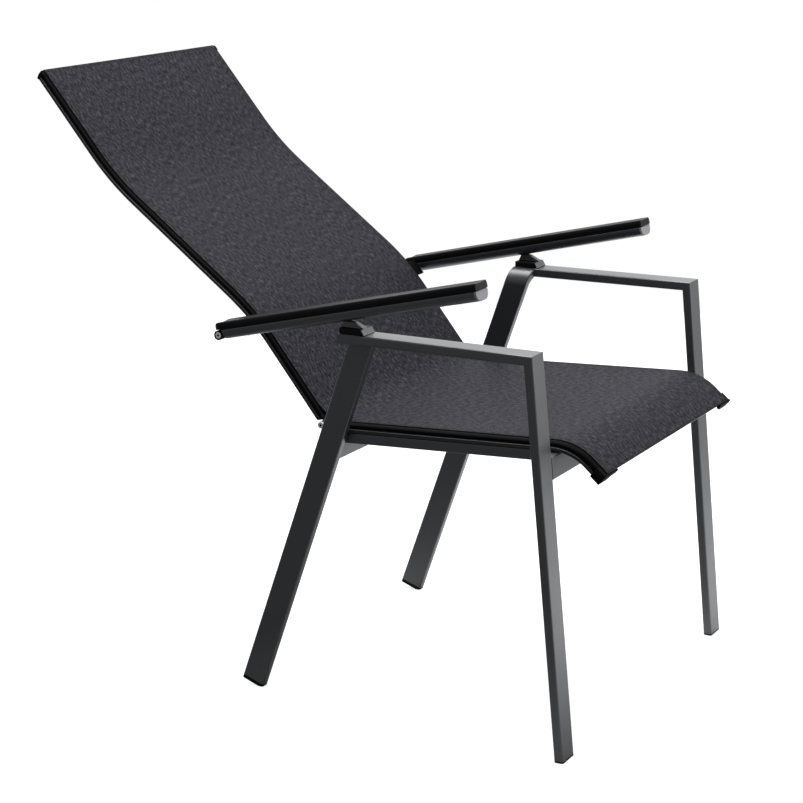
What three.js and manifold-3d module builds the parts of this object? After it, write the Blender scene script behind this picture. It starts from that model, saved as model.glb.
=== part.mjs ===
// A stacking patio chair with a high sling back that reclines in steps.
// Flat aluminium tubes make the fixed frame. The back turns on two hinge bolts behind
// the seat, and an armrest on each side pivots on the back and rests on a latch pin.
// Millimetres. X runs across the chair, the front faces -Y and +Z is up. Before the last
// step the origin is on the floor, in the middle, under the top of the front legs.

import * as THREE from 'three';
import { mergeVertices } from 'three/addons/utils/BufferGeometryUtils.js';
import Module from 'manifold-3d';

const wasm = await Module();
wasm.setup();

// Overall sizes and the flat tube that the frame is welded from.
const chairWidth = 600;
const barHeight = 566;
const barToeIn = 4.5;
const tubeFace = 37;
const tubeThickness = 13.5;
const tubeWall = 1.6;
const tubeCorner = 2.5;
const fit = 0.3;
const frontGlideHeight = 2.5;
const rearGlideHeight = 6;
const plugDepth = 16;

// Front legs: how far the foot stands in front of the top.
const frontFootReach = 53;

// Rear legs: the place of their front edge ahead of the hinge, the bend at their top, and
// how deep their square end would reach below the floor before it is cut level.
const rearLegLead = 102;
const rearFootSetback = 200;
const rearFootSink = 2.5;
const rearLegGap = 1;
const bendRadius = 12;
const endCapThickness = 2.5;

// Cross tubes that join the two sides, placed from the hinge.
const frontCrossHeight = 32;
const frontCrossDrop = 24;
const rearCrossHeight = 22;
const rearCrossDepth = 26;
const rearCrossLead = 8;

// Hinge between seat and back, below the top of the side bars.
const hingeDrop = 152.5;
const hingeBoltRadius = 3;
const hingeHeadRadius = 5;
const hingeHeadHeight = 3;
const hingeNutHeight = 4;
const hingeEyeRadius = 5.6;
const socketRadius = 1.5;
const socketDepth = 1.8;
const headChamfer = 0.6;
const nutSides = 6;

// Seat rail, seen from the side: a slope, a rounded front edge that starts just ahead of
// the legs' top, and a short lip.
const seatCurveLead = 0.6;
const seatSlope = 2.6;
const seatRunLength = 363.6;
const seatFrontRadius = 86;
const seatFrontTurn = 44.3;
const seatLipLength = 28.3;
const seatHingeDepth = 6.75;
const seatRailClear = 14.5;
const stretcherWidth = 22;
const stretcherHeight = 16;
const stretcherWall = 1.5;
const stretcherInset = 1.5;

// Back rail, seen from the side: upright run, lumbar curve, long run, neck curve, head run.
const backHeading = 51.5;
const backHingeDepth = 10;
const backLowerLength = 141;
const lumbarRadius = 378;
const lumbarTurn = 14.7;
const backLongLength = 204;
const neckRadius = 409;
const neckTurn = 13.4;
const headLength = 148;
const backRailClear = 12;

// Sling rail profiles. They are measured from the crest, where the fabric turns down. The
// back rail is the slimmer one.
const seatProfile = { height: 13.5, shoulderWidth: 11, lipWidth: 14.5 };
const backProfile = { height: 11.2, shoulderWidth: 8.2, lipWidth: 11.5 };
const railInnerWidth = 11;
const railLipHeight = 5;
const railWall = 1.6;
const railCorner = 1.4;
const slotWidth = 3;
const kederRadius = 2.5;
const kederDepth = 6.2;
const slingThickness = 2;
const slingEdgeShare = 0.33;
const shoulderTopShare = 0.55;
const shoulderBowShares = [
  [0.4, 0.14],
  [0.75, 0.42],
  [0.95, 0.75],
];

// Black end caps of the sling rails.
const frontCapLength = 17;
const frontCapOuterWidth = 15.5;
const frontCapInnerWidth = 30;
const frontCapHeight = 16;
const frontCapLipLength = 3;
const topCapLength = 9;
const topCapHeelLength = 3;
const topCapRimHeight = 0.6;

// Spreader bars between the sling rails.
const spreaderWidth = 22;
const spreaderHeight = 8;
const spreaderWall = 1.4;
const hemInset = 15;
const lowerSpreaderPlace = 46;

// Armrests and their pivots, placed along the back rail and below its crest.
const armPivotAlong = 186.9;
const armPivotBelow = 27.6;
const armWidth = 36.5;
const armHeight = 25.5;
const armBelowPivot = 7.5;
const armReach = 423;
const armGrooveHeight = 1;
const armRailHeight = 14.2;
const armWall = 2;
const channelWidth = 11;
const channelDepth = 12.6;
const armCapThickness = 4;
const padOverhang = 5.5;
const pivotBlockRadius = 7;
const pivotBoltRadius = 3;
const pivotHeadRadius = 4.8;
const pivotHeadHeight = 3;
const pivotBoltInset = 1.6;
const bracketReach = 24;
const bracketAbove = 3;
const bracketBelow = 24;
const bracketEarRadius = 7.5;

// Section of an armrest: shares of its half width and of the height of each part.
const armHullShares = [
  [0.38, 0],
  [0.58, 0.07],
  [0.77, 0.22],
  [0.89, 0.42],
  [0.965, 0.7],
  [0.98, 1],
];
const armPadShares = [
  [0.98, 0],
  [1, 0.4],
  [0.95, 0.82],
  [0.85, 1],
];

// Latch that an armrest lies on, and the rack in the arm that gives the back its steps.
const reclineRange = 31;
const latchInset = 12.8;
const latchAboveEar = 3.6;
const latchPinRadius = 2.4;
const latchRise = 2;
const latchRadius = 4;
const latchLength = 9.4;
const rackStop = 4;
const rackScallopRadius = 5;
const rackPositions = 5;

// Support casting on the side bar's rear end.
const supportLength = 40;
const supportWidth = 33;
const supportHeight = 8.5;
const supportCorner = 2;
const supportRamp = 5;
const earThickness = 11;
const earHeight = 8.5;
const neckThickness = 6;
const supportRearInset = 3;
const earFrontShare = 0.08;
const earSlopeShare = 0.54;
const earRearShare = 0.9;

// Counts of flats in the round shapes.
const cornerSteps = 3;
const bendSteps = 7;
const roundSteps = 24;
const boreSteps = 8;

// Finishes.
const coatedMetal = new THREE.MeshStandardMaterial({ color: 0x3c3c42, roughness: 0.5, metalness: 0.4 });
const railMetal = new THREE.MeshStandardMaterial({ color: 0x2a2a2f, roughness: 0.5, metalness: 0.4 });
const blackPlastic = new THREE.MeshStandardMaterial({ color: 0x121214, roughness: 0.6, metalness: 0 });
const greyPlastic = new THREE.MeshStandardMaterial({ color: 0x9a9a9c, roughness: 0.5, metalness: 0 });
const stainless = new THREE.MeshStandardMaterial({ color: 0xc8c8cc, roughness: 0.3, metalness: 1 });
const slingFabric = new THREE.MeshStandardMaterial({ color: 0x45454c, roughness: 0.95, metalness: 0 });

const chair = new THREE.Group();
const sides = [
  { name: 'right', sign: -1 },
  { name: 'left', sign: 1 },
];

function radians(degrees) {
  return THREE.MathUtils.degToRad(degrees);
}

function addPart(parent, name, geometry, material) {
  const mesh = new THREE.Mesh(geometry, material.clone());
  mesh.name = name;
  parent.add(mesh);
  return mesh;
}

// Outlines are lists of points. A section is an outline with the outlines of its holes.
function points(pairs) {
  return pairs.map(([u, v]) => new THREE.Vector2(u, v));
}

function turned(outline, clockwise) {
  const isClockwise = THREE.ShapeUtils.isClockWise(outline);
  return isClockwise === clockwise ? outline : [...outline].reverse();
}

function section(outline, holes = []) {
  return [turned(outline, false), ...holes.map((hole) => turned(hole, true))];
}

function arcPoints(centreU, centreV, radius, fromDegrees, toDegrees, steps) {
  const list = [];
  for (let step = 0; step <= steps; step += 1) {
    const angle = radians(fromDegrees + ((toDegrees - fromDegrees) * step) / steps);
    list.push([centreU + radius * Math.cos(angle), centreV + radius * Math.sin(angle)]);
  }
  return list;
}

function circle(centreU, centreV, radius, steps = roundSteps) {
  return points(arcPoints(centreU, centreV, radius, 0, 360, steps).slice(0, -1));
}

function roundedBox(width, height, radius) {
  const cornerU = width / 2 - radius;
  const cornerV = height / 2 - radius;
  return points([
    ...arcPoints(cornerU, cornerV, radius, 0, 90, cornerSteps),
    ...arcPoints(-cornerU, cornerV, radius, 90, 180, cornerSteps),
    ...arcPoints(-cornerU, -cornerV, radius, 180, 270, cornerSteps),
    ...arcPoints(cornerU, -cornerV, radius, 270, 360, cornerSteps),
  ]);
}

function box(lowU, highU, lowV, highV) {
  return points([
    [lowU, lowV],
    [highU, lowV],
    [highU, highV],
    [lowU, highV],
  ]);
}

function tubeSection(width, height, corner, wall) {
  const bore = roundedBox(width - 2 * wall, height - 2 * wall, corner / 2);
  return section(roundedBox(width, height, corner), [bore]);
}

// A frame says where a section stands: its origin and the directions of its two axes.
function frameAt(origin, across, up) {
  return {
    origin: new THREE.Vector3(...origin),
    across: new THREE.Vector3(...across),
    up: new THREE.Vector3(...up),
  };
}

function place(point, frame) {
  return frame.origin.clone().addScaledVector(frame.across, point.x).addScaledVector(frame.up, point.y);
}

// Triangles of a flat end, all turned the same way.
function endTriangles(rings) {
  const flat = rings.flat();
  const faces = THREE.ShapeUtils.triangulateShape(rings[0], rings.slice(1));
  return faces.map(([a, b, c]) => {
    const area = THREE.ShapeUtils.area([flat[a], flat[b], flat[c]]);
    return area > 0 ? [a, b, c] : [a, c, b];
  });
}

function signedVolume(corners, index) {
  let volume = 0;
  for (let at = 0; at < index.length; at += 3) {
    const [a, b, c] = [corners[index[at]], corners[index[at + 1]], corners[index[at + 2]]];
    volume += a.dot(b.clone().cross(c));
  }
  return volume;
}

// A closed body through a row of sections that have the same number of points.
function loft(stations) {
  const corners = stations.flatMap(({ rings, frame }) => rings.flat().map((point) => place(point, frame)));
  const rings = stations[0].rings;
  const ringSize = rings.flat().length;
  const index = [];
  let ringStart = 0;
  for (const ring of rings) {
    for (let layer = 0; layer + 1 < stations.length; layer += 1) {
      for (let corner = 0; corner < ring.length; corner += 1) {
        const here = layer * ringSize + ringStart + corner;
        const next = layer * ringSize + ringStart + ((corner + 1) % ring.length);
        index.push(here, next, next + ringSize, here, next + ringSize, here + ringSize);
      }
    }
    ringStart += ring.length;
  }
  const lastStart = (stations.length - 1) * ringSize;
  for (const [a, b, c] of endTriangles(rings)) {
    index.push(a, c, b);
  }
  for (const [a, b, c] of endTriangles(stations[stations.length - 1].rings)) {
    index.push(lastStart + a, lastStart + b, lastStart + c);
  }
  if (signedVolume(corners, index) < 0) {
    index.reverse();
  }
  const geometry = new THREE.BufferGeometry().setFromPoints(corners);
  geometry.setIndex(index);
  const faceted = geometry.toNonIndexed();
  faceted.computeVertexNormals();
  return faceted;
}

// A prism that runs across the chair, from an outline in the side view.
function acrossPrism(rings, fromX, toX) {
  return loft([fromX, toX].map((x) => ({ rings, frame: frameAt([x, 0, 0], [0, 1, 0], [0, 0, 1]) })));
}

// Joining and cutting of closed bodies.
function toSolid(geometry) {
  const bare = geometry.clone();
  bare.deleteAttribute('normal');
  bare.deleteAttribute('uv');
  const merged = mergeVertices(bare);
  const mesh = new wasm.Mesh({
    numProp: 3,
    vertProperties: new Float32Array(merged.attributes.position.array),
    triVerts: new Uint32Array(merged.index.array),
  });
  return new wasm.Manifold(mesh);
}

function fromSolid(solid) {
  const mesh = solid.getMesh();
  const geometry = new THREE.BufferGeometry();
  geometry.setAttribute('position', new THREE.Float32BufferAttribute(mesh.vertProperties, 3));
  geometry.setIndex([...mesh.triVerts]);
  const faceted = geometry.toNonIndexed();
  faceted.computeVertexNormals();
  return faceted;
}

function joined(...geometries) {
  return fromSolid(geometries.map(toSolid).reduce((sum, solid) => sum.add(solid)));
}

function cut(geometry, ...tools) {
  return fromSolid(tools.map(toSolid).reduce((rest, tool) => rest.subtract(tool), toSolid(geometry)));
}

// A turned body whose axis runs across the chair. The profile holds radius and place.
function turnedAcross(profile, sign) {
  const geometry = new THREE.LatheGeometry(points(profile), roundSteps);
  geometry.rotateZ(sign > 0 ? -Math.PI / 2 : Math.PI / 2);
  return geometry;
}

// A line in the side view made of straight runs and arcs, measured by distance.
class SideLine {
  constructor(start, heading, upSide, runs) {
    this.upSide = upSide;
    this.pieces = [];
    let state = { y: start.y, z: start.z, heading: radians(heading) };
    let from = 0;
    for (const run of runs) {
      const length = run.length ?? run.radius * radians(Math.abs(run.turn));
      const bend = run.length === undefined ? Math.sign(run.turn) / run.radius : 0;
      this.pieces.push({ from, length, bend, state });
      state = SideLine.advance(state, length, bend);
      from += length;
    }
    this.length = from;
  }

  static advance(state, distance, bend) {
    if (bend === 0) {
      const y = state.y + distance * Math.cos(state.heading);
      const z = state.z + distance * Math.sin(state.heading);
      return { y, z, heading: state.heading };
    }
    const heading = state.heading + distance * bend;
    const y = state.y + (Math.sin(heading) - Math.sin(state.heading)) / bend;
    const z = state.z - (Math.cos(heading) - Math.cos(state.heading)) / bend;
    return { y, z, heading };
  }

  at(distance) {
    const piece = this.pieces.find(({ from, length }) => distance <= from + length) ?? this.pieces.at(-1);
    const { y, z, heading } = SideLine.advance(piece.state, distance - piece.from, piece.bend);
    const up = { y: -Math.sin(heading) * this.upSide, z: Math.cos(heading) * this.upSide };
    return { y, z, heading, up };
  }

  // The frame of a section at a distance, for one side of the chair or for its middle.
  frame(distance, sign = 1, x = 0) {
    const { y, z, up } = this.at(distance);
    return frameAt([x * sign, y, z], [sign, 0, 0], [0, up.y, up.z]);
  }

  // The distances where a section is repeated: both ends and every step of an arc.
  stops(from, to) {
    const stops = [from];
    for (const piece of this.pieces) {
      const steps = piece.bend === 0 ? 1 : bendSteps;
      for (let step = 0; step <= steps; step += 1) {
        const stop = piece.from + (piece.length * step) / steps;
        if (stop > stops.at(-1) + fit && stop < to - fit) {
          stops.push(stop);
        }
      }
    }
    return [...stops, to];
  }

  sweep(rings, from, to, sign = 1, x = 0) {
    return loft(this.stops(from, to).map((stop) => ({ rings, frame: this.frame(stop, sign, x) })));
  }

  // A point given by its distance along the line and its height above the crest.
  point(distance, height) {
    const { y, z, up } = this.at(distance);
    return [y + height * up.y, z + height * up.z];
  }
}

// Places that several pieces share.
const halfWidth = chairWidth / 2;
const crestHalfWidth = halfWidth - armWidth - bracketReach - seatProfile.lipWidth;
const seatRailOuter = crestHalfWidth + seatProfile.lipWidth;
const backRailOuter = crestHalfWidth + backProfile.lipWidth;
const hingeY = seatRunLength - seatCurveLead;
const hingeZ = barHeight - hingeDrop;
const rearLegTopFront = hingeY - rearLegLead;
const rearLegInner = seatRailOuter + rearLegGap;
const rearLegOuter = rearLegInner + tubeThickness;
const rearEndX = halfWidth - barToeIn;
const frontLegInner = halfWidth - tubeFace;
const toeSlope = barToeIn / rearLegTopFront;
const frontLean = frontFootReach / barHeight;
const legDepth = tubeThickness * Math.hypot(1, frontLean);
const barMiddle = barHeight - tubeThickness / 2;
const rearLean = rearFootSetback / barMiddle;
const rearSlant = Math.hypot(1, rearLean);
const rearLegDepth = tubeFace * rearSlant;
const frontCrossBottom = hingeZ - frontCrossDrop;
const rearCrossRear = hingeY - rearCrossLead;
const boreRadius = kederRadius + fit;
const slotMiddle = slotWidth / 2;

// Side view of the seat rail's crest and of the back rail's, both from the hinge.
const seatHeading = 180 - seatSlope;
const seatUp = { y: Math.sin(radians(seatHeading)), z: -Math.cos(radians(seatHeading)) };
const seatLine = new SideLine(
  { y: hingeY + seatHingeDepth * seatUp.y, z: hingeZ + seatHingeDepth * seatUp.z },
  seatHeading,
  -1,
  [{ length: seatRunLength }, { radius: seatFrontRadius, turn: seatFrontTurn }, { length: seatLipLength }],
);

const backUp = { y: -Math.sin(radians(backHeading)), z: Math.cos(radians(backHeading)) };
const backLine = new SideLine(
  { y: hingeY + backHingeDepth * backUp.y, z: hingeZ + backHingeDepth * backUp.z },
  backHeading,
  1,
  [
    { length: backLowerLength },
    { radius: lumbarRadius, turn: -lumbarTurn },
    { length: backLongLength },
    { radius: neckRadius, turn: neckTurn },
    { length: headLength },
  ],
);

function frontFaceY(z) {
  return (z - barHeight) * frontLean;
}

function rearLegFrontY(z) {
  return rearLegTopFront + (barMiddle - z) * rearLean;
}

// Front leg: a leaning flat tube, cut to a mitre under the side bar.
const mitreRun = frontFaceY(barHeight - tubeThickness) + legDepth;

function frontLegFrame(z, sign) {
  const x = sign * (halfWidth - tubeFace / 2);
  return frameAt([x, frontFaceY(z) + legDepth / 2, z], [sign, 0, 0], [0, 1, 0]);
}

function frontLeg(sign) {
  const rings = tubeSection(tubeFace, legDepth, tubeCorner, tubeWall);
  const drop = tubeThickness / legDepth;
  const top = frontLegFrame(barMiddle - fit / 2, sign);
  top.up.set(0, 1 - frontLean * drop, -drop);
  return loft([
    { rings, frame: frontLegFrame(frontGlideHeight, sign) },
    { rings, frame: top },
  ]);
}

// Side bar: level, with a slight toe-in towards the rear.
function barFrame(y, sign) {
  return frameAt([sign * (halfWidth - tubeFace / 2 - toeSlope * y), y, barMiddle], [sign, 0, 0], [0, 0, 1]);
}

function topBar(sign) {
  const rings = tubeSection(tubeFace, tubeThickness, tubeCorner, tubeWall);
  const front = barFrame(mitreRun / 2 + fit / 2, sign);
  const back = mitreRun / tubeThickness;
  front.up.set(sign * toeSlope * back, -back, 1);
  return loft([
    { rings, frame: front },
    { rings, frame: barFrame(rearLegTopFront, sign) },
  ]);
}

// Rear leg: leans backward and bends outward at the top into the rear end of the side bar.
// Its foot is square to the leg, so the sole rises towards the rear.
function rearFootFrame(above, sign) {
  const x = sign * (rearLegInner + tubeThickness / 2);
  const z = ((tubeFace / 2) * rearLean + above) / rearSlant - rearFootSink;
  const across = [0, 1 / rearSlant, rearLean / rearSlant];
  return frameAt([x, rearLegFrontY(z) + rearLegDepth / 2, z], across, [-sign, 0, 0]);
}

function rearEndFrame(x, sign) {
  return frameAt([sign * x, rearLegTopFront + rearLegDepth / 2, barMiddle], [0, 1, 0], [0, 0, 1]);
}

function rearLeg(sign) {
  const rings = tubeSection(rearLegDepth, tubeThickness, tubeCorner, tubeWall);
  const centreX = rearLegOuter + bendRadius;
  const centreZ = barHeight - tubeThickness - bendRadius;
  const reach = bendRadius + tubeThickness / 2;
  const footRings = tubeSection(tubeFace, tubeThickness, tubeCorner, tubeWall);
  const stations = [{ rings: footRings, frame: rearFootFrame(rearGlideHeight, sign) }];
  for (let step = 0; step <= bendSteps; step += 1) {
    const angle = (Math.PI / 2) * (step / bendSteps);
    const z = centreZ + reach * Math.sin(angle);
    const x = sign * (centreX - reach * Math.cos(angle));
    const y = rearLegFrontY(z) + rearLegDepth / 2;
    const up = [-sign * Math.cos(angle), 0, Math.sin(angle)];
    stations.push({ rings, frame: frameAt([x, y, z], [0, 1, 0], up) });
  }
  stations.push({ rings, frame: rearEndFrame(rearEndX - endCapThickness, sign) });
  return loft(stations);
}

// A plastic stopper: a plate with the tube's outline and a plug that fills its bore.
function stopper(width, height, frames) {
  const plate = section(roundedBox(width, height, tubeCorner));
  const side = 2 * (tubeWall + fit);
  const plug = section(roundedBox(width - side, height - side, tubeCorner / 2));
  const [end, seat, tip] = frames;
  return loft([
    { rings: plate, frame: end },
    { rings: plate, frame: seat },
    { rings: plug, frame: seat },
    { rings: plug, frame: tip },
  ]);
}

function frontGlide(sign) {
  const places = [0, frontGlideHeight, frontGlideHeight + plugDepth];
  return stopper(tubeFace, legDepth, places.map((z) => frontLegFrame(z, sign)));
}

// The rear glide's front corner is cut level, and it stands on that flat.
function rearGlide(sign) {
  const places = [0, rearGlideHeight, rearGlideHeight + plugDepth];
  const body = stopper(tubeFace, tubeThickness, places.map((above) => rearFootFrame(above, sign)));
  const soleFront = rearLegFrontY(0);
  const below = section(box(soleFront - tubeFace, soleFront + 2 * tubeFace, -tubeFace, 0));
  return cut(body, acrossPrism(below, sign * (rearLegInner - fit), sign * (rearLegOuter + fit)));
}

function endCap(sign) {
  const places = [rearEndX, rearEndX - endCapThickness, rearEndX - endCapThickness - plugDepth / 2];
  return stopper(rearLegDepth, tubeThickness, places.map((x) => rearEndFrame(x, sign)));
}

// Side stretcher under a seat rail, from the front cross tube to over the rear one.
const stretcherTop = -seatProfile.height - fit;
const stretcherMiddle = stretcherTop - stretcherHeight / 2;
const stretcherX = seatRailOuter - stretcherInset - stretcherWidth / 2;

function stretcherHeightAt(y, height) {
  const slope = Math.tan(radians(seatSlope));
  const [crestY, crestZ] = seatLine.point(0, 0);
  return crestZ + (crestY - y) * slope + height / Math.cos(radians(seatSlope));
}

function seatStretcher(sign) {
  const rings = tubeSection(stretcherWidth, stretcherHeight, tubeCorner, stretcherWall);
  const lean = (z) => frontFaceY(z) + legDepth + fit;
  const slope = Math.tan(radians(seatSlope));
  const heightOf = (y) => stretcherHeightAt(y, stretcherMiddle);
  const frontZ = (heightOf(0) - slope * lean(0)) / (1 + slope * frontLean);
  const front = frameAt([sign * stretcherX, lean(frontZ), frontZ], [sign, 0, 0], [0, 0, 1]);
  const shear = 1 / (seatUp.y * frontLean + seatUp.z);
  front.up.set(0, frontLean * shear, shear);
  const rear = frameAt([sign * stretcherX, rearCrossRear, heightOf(rearCrossRear)], [sign, 0, 0], [0, 0, 1]);
  rear.up.set(0, 0, 1 / seatUp.z);
  return loft([
    { rings, frame: front },
    { rings, frame: rear },
  ]);
}

// Cross tubes. The front one leans like the legs, the rear one carries the stretchers.
function frontCrossTube() {
  const rings = tubeSection(legDepth, frontCrossHeight, tubeCorner, tubeWall);
  const middleZ = frontCrossBottom + frontCrossHeight / 2;
  const middleY = frontFaceY(middleZ) + legDepth / 2;
  return loft(
    [-frontLegInner, frontLegInner].map((x) => ({
      rings,
      frame: frameAt([x, middleY, middleZ], [0, 1, 0], [0, frontLean, 1]),
    })),
  );
}

const rearCrossTop = stretcherHeightAt(rearCrossRear, stretcherTop - stretcherHeight) - fit;

function rearCrossTube() {
  const rings = tubeSection(rearCrossDepth, rearCrossHeight, tubeCorner, tubeWall);
  const middleY = rearCrossRear - rearCrossDepth / 2;
  const middleZ = rearCrossTop - rearCrossHeight / 2;
  const ends = [-rearLegInner, rearLegInner];
  return loft(ends.map((x) => ({ rings, frame: frameAt([x, middleY, middleZ], [0, 1, 0], [0, 0, 1]) })));
}

// Sling rail: a keder slot at the crest, a rounded shoulder and a lip below it. Both rails
// have an inner chamber, and the seat rail has an outer one too.
const railTop = -(slingThickness + fit);
const slotFloor = -kederDepth + kederRadius;
const innerChamber = {
  low: -railInnerWidth + railWall,
  high: -boreRadius + slotMiddle - railWall,
};
const outerChamber = {
  low: slotMiddle + boreRadius + railWall,
  high: seatProfile.shoulderWidth - railWall + fit,
};
const seatChamberFloor = railWall - seatProfile.height;
const backChamberFloor = railWall - backProfile.height;
const outerChamberFloor = seatChamberFloor + fit;
const innerChamberTop = railTop - railWall;
const outerChamberTop = railTop - 2 * railWall;

function shoulderPoints({ height, shoulderWidth, lipWidth }) {
  const top = railTop * shoulderTopShare;
  const ledge = railLipHeight - height;
  const width = shoulderWidth - slotWidth;
  const drop = top - ledge;
  return [
    [slotWidth, top],
    ...shoulderBowShares.map(([u, v]) => [slotWidth + width * u, top - drop * v * shoulderTopShare]),
    [shoulderWidth, top - drop * shoulderTopShare],
    [shoulderWidth, ledge + railCorner / 2],
    [lipWidth - railCorner / 2, ledge],
    [lipWidth, ledge - railCorner / 2],
  ];
}

function railOutline(profile) {
  const mouth = THREE.MathUtils.radToDeg(Math.acos(slotMiddle / boreRadius));
  const { height, lipWidth } = profile;
  return points([
    [0, railTop],
    ...arcPoints(slotMiddle, -kederDepth, boreRadius, 180 - mouth, 360 + mouth, boreSteps),
    ...shoulderPoints(profile),
    [lipWidth, railCorner - height],
    [lipWidth - railCorner, -height],
    [-railInnerWidth + railCorner, -height],
    [-railInnerWidth, railCorner - height],
    [-railInnerWidth, railTop - railCorner],
    [-railInnerWidth + railCorner, railTop],
  ]);
}

const seatRailSection = section(railOutline(seatProfile), [
  box(innerChamber.low, innerChamber.high, seatChamberFloor, innerChamberTop),
  box(outerChamber.low, outerChamber.high, outerChamberFloor, outerChamberTop),
]);
const backRailSection = section(railOutline(backProfile), [
  box(innerChamber.low, innerChamber.high, backChamberFloor, innerChamberTop),
]);
const kederSection = section(circle(slotMiddle, -kederDepth, kederRadius, boreSteps));

const seatRailEnd = seatLine.length - frontCapLength;
const backRailEnd = backLine.length - topCapLength;

// Sling: a stretched sheet whose two edges turn down into the slots to the keder rods.
function slingOutline() {
  const edge = crestHalfWidth + slotMiddle;
  const half = slingThickness * slingEdgeShare;
  const foot = slotFloor + fit;
  const side = [
    [edge - half, foot],
    [edge + half, foot],
    [edge + half, -slingThickness / 2],
    [crestHalfWidth, 0],
  ];
  const mirrored = side.map(([u, v]) => [-u, v]).reverse();
  return points([
    ...side,
    ...mirrored,
    [-edge + half, -slingThickness],
    [edge - half, -slingThickness],
  ]);
}

// The slot goes on through the end caps, so that the sling's edge passes over them.
function capCrest(outerTop) {
  return [
    [-railInnerWidth, railTop],
    [0, railTop],
    [0, slotFloor],
    [slotWidth, slotFloor],
    [slotWidth, outerTop],
  ];
}

// Hinge lugs: a tongue inside a rail's chamber with a round eye on the hinge bolt.
function lugOutline(line, clear, low, high) {
  const { heading } = line.at(0);
  const turn = THREE.MathUtils.radToDeg(heading);
  const eye = arcPoints(hingeY, hingeZ, hingeEyeRadius, turn + 90, turn + 270, roundSteps / 2);
  const inside = clear + plugDepth;
  const [first, second] = line.upSide > 0 ? [high, low] : [low, high];
  return points([
    ...eye,
    line.point(clear - fit, second),
    line.point(inside, second),
    line.point(inside, first),
    line.point(clear - fit, first),
  ]);
}

const boltHoleRadius = hingeBoltRadius + fit;
const seatLug = {
  inner: crestHalfWidth + outerChamber.low + fit,
  outer: crestHalfWidth + outerChamber.high - fit,
};
const backLug = {
  inner: crestHalfWidth + innerChamber.low + fit,
  outer: crestHalfWidth + innerChamber.high - fit,
};

function seatHingeLug(sign) {
  const outline = lugOutline(seatLine, seatRailClear, outerChamberFloor + fit, outerChamberTop - fit);
  const rings = section(outline, [circle(hingeY, hingeZ, boltHoleRadius)]);
  return acrossPrism(rings, sign * seatLug.inner, sign * seatLug.outer);
}

function backHingeLug(sign) {
  const outline = lugOutline(backLine, backRailClear, backChamberFloor + fit, innerChamberTop - fit);
  const hole = circle(hingeY, hingeZ, boltHoleRadius);
  const plate = acrossPrism(section(outline), sign * backLug.inner, sign * backLug.outer);
  const boss = circle(hingeY, hingeZ, hingeEyeRadius);
  const bossEnd = sign * (seatLug.inner - fit);
  const body = joined(plate, acrossPrism(section(boss), sign * (backLug.inner + fit), bossEnd));
  return cut(body, acrossPrism(section(hole), sign * (backLug.inner - railWall), bossEnd + sign * railWall));
}

// Bolt with a flat round head and a socket. It points inward from its outer end.
function bolt(sign, shankRadius, headRadius, headHeight, innerX, outerX) {
  return turnedAcross(
    [
      [0, innerX],
      [shankRadius, innerX],
      [shankRadius, outerX - headHeight],
      [headRadius, outerX - headHeight],
      [headRadius, outerX - headChamfer],
      [headRadius - headChamfer, outerX],
      [socketRadius, outerX],
      [socketRadius, outerX - socketDepth],
      [0, outerX - socketDepth],
    ],
    sign,
  );
}

function hingeBolt(sign) {
  const inner = backLug.inner - fit - hingeNutHeight;
  const outer = seatLug.outer + fit + hingeHeadHeight;
  const geometry = bolt(sign, hingeBoltRadius, hingeHeadRadius, hingeHeadHeight, inner, outer);
  return geometry.translate(0, hingeY, hingeZ);
}

function hingeNut(sign) {
  const outer = backLug.inner - fit;
  const hexagon = circle(hingeY, hingeZ, hingeHeadRadius, nutSides);
  const rings = section(hexagon, [circle(hingeY, hingeZ, boltHoleRadius)]);
  return acrossPrism(rings, sign * (outer - hingeNutHeight), sign * outer);
}

// Front cap of a seat rail: a boot over the rail's end with a lip that runs inward.
function seatFrontCap(sign) {
  const end = seatLine.length;
  const start = end - frontCapLength + fit;
  const top = railTop * shoulderTopShare;
  const boot = section(
    points([
      ...capCrest(top),
      [seatProfile.shoulderWidth, top],
      [frontCapOuterWidth, top - railLipHeight],
      [frontCapOuterWidth, -frontCapHeight + railCorner],
      [frontCapOuterWidth - railCorner, -frontCapHeight],
      [-railInnerWidth + railCorner, -frontCapHeight],
      [-railInnerWidth, -frontCapHeight + railCorner],
    ]),
  );
  const lip = section(
    points([
      [-frontCapInnerWidth, 0],
      [-frontCapInnerWidth, -spreaderHeight],
      [-railInnerWidth - spreaderHeight, -spreaderHeight],
      [-railInnerWidth, -frontCapHeight],
      [frontCapOuterWidth - railCorner, -frontCapHeight],
      [frontCapOuterWidth, -frontCapHeight + railCorner],
      [frontCapOuterWidth, top - railLipHeight],
      [seatProfile.shoulderWidth, 0],
    ]),
  );
  const plug = section(
    box(innerChamber.low + fit, innerChamber.high - fit, seatChamberFloor + fit, innerChamberTop - fit),
  );
  const x = crestHalfWidth;
  return joined(
    seatLine.sweep(boot, start, end - frontCapLipLength / 2, sign, x),
    seatLine.sweep(lip, end - frontCapLipLength, end, sign, x),
    seatLine.sweep(plug, start - plugDepth / 2, start + frontCapLipLength, sign, x),
  );
}

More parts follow.
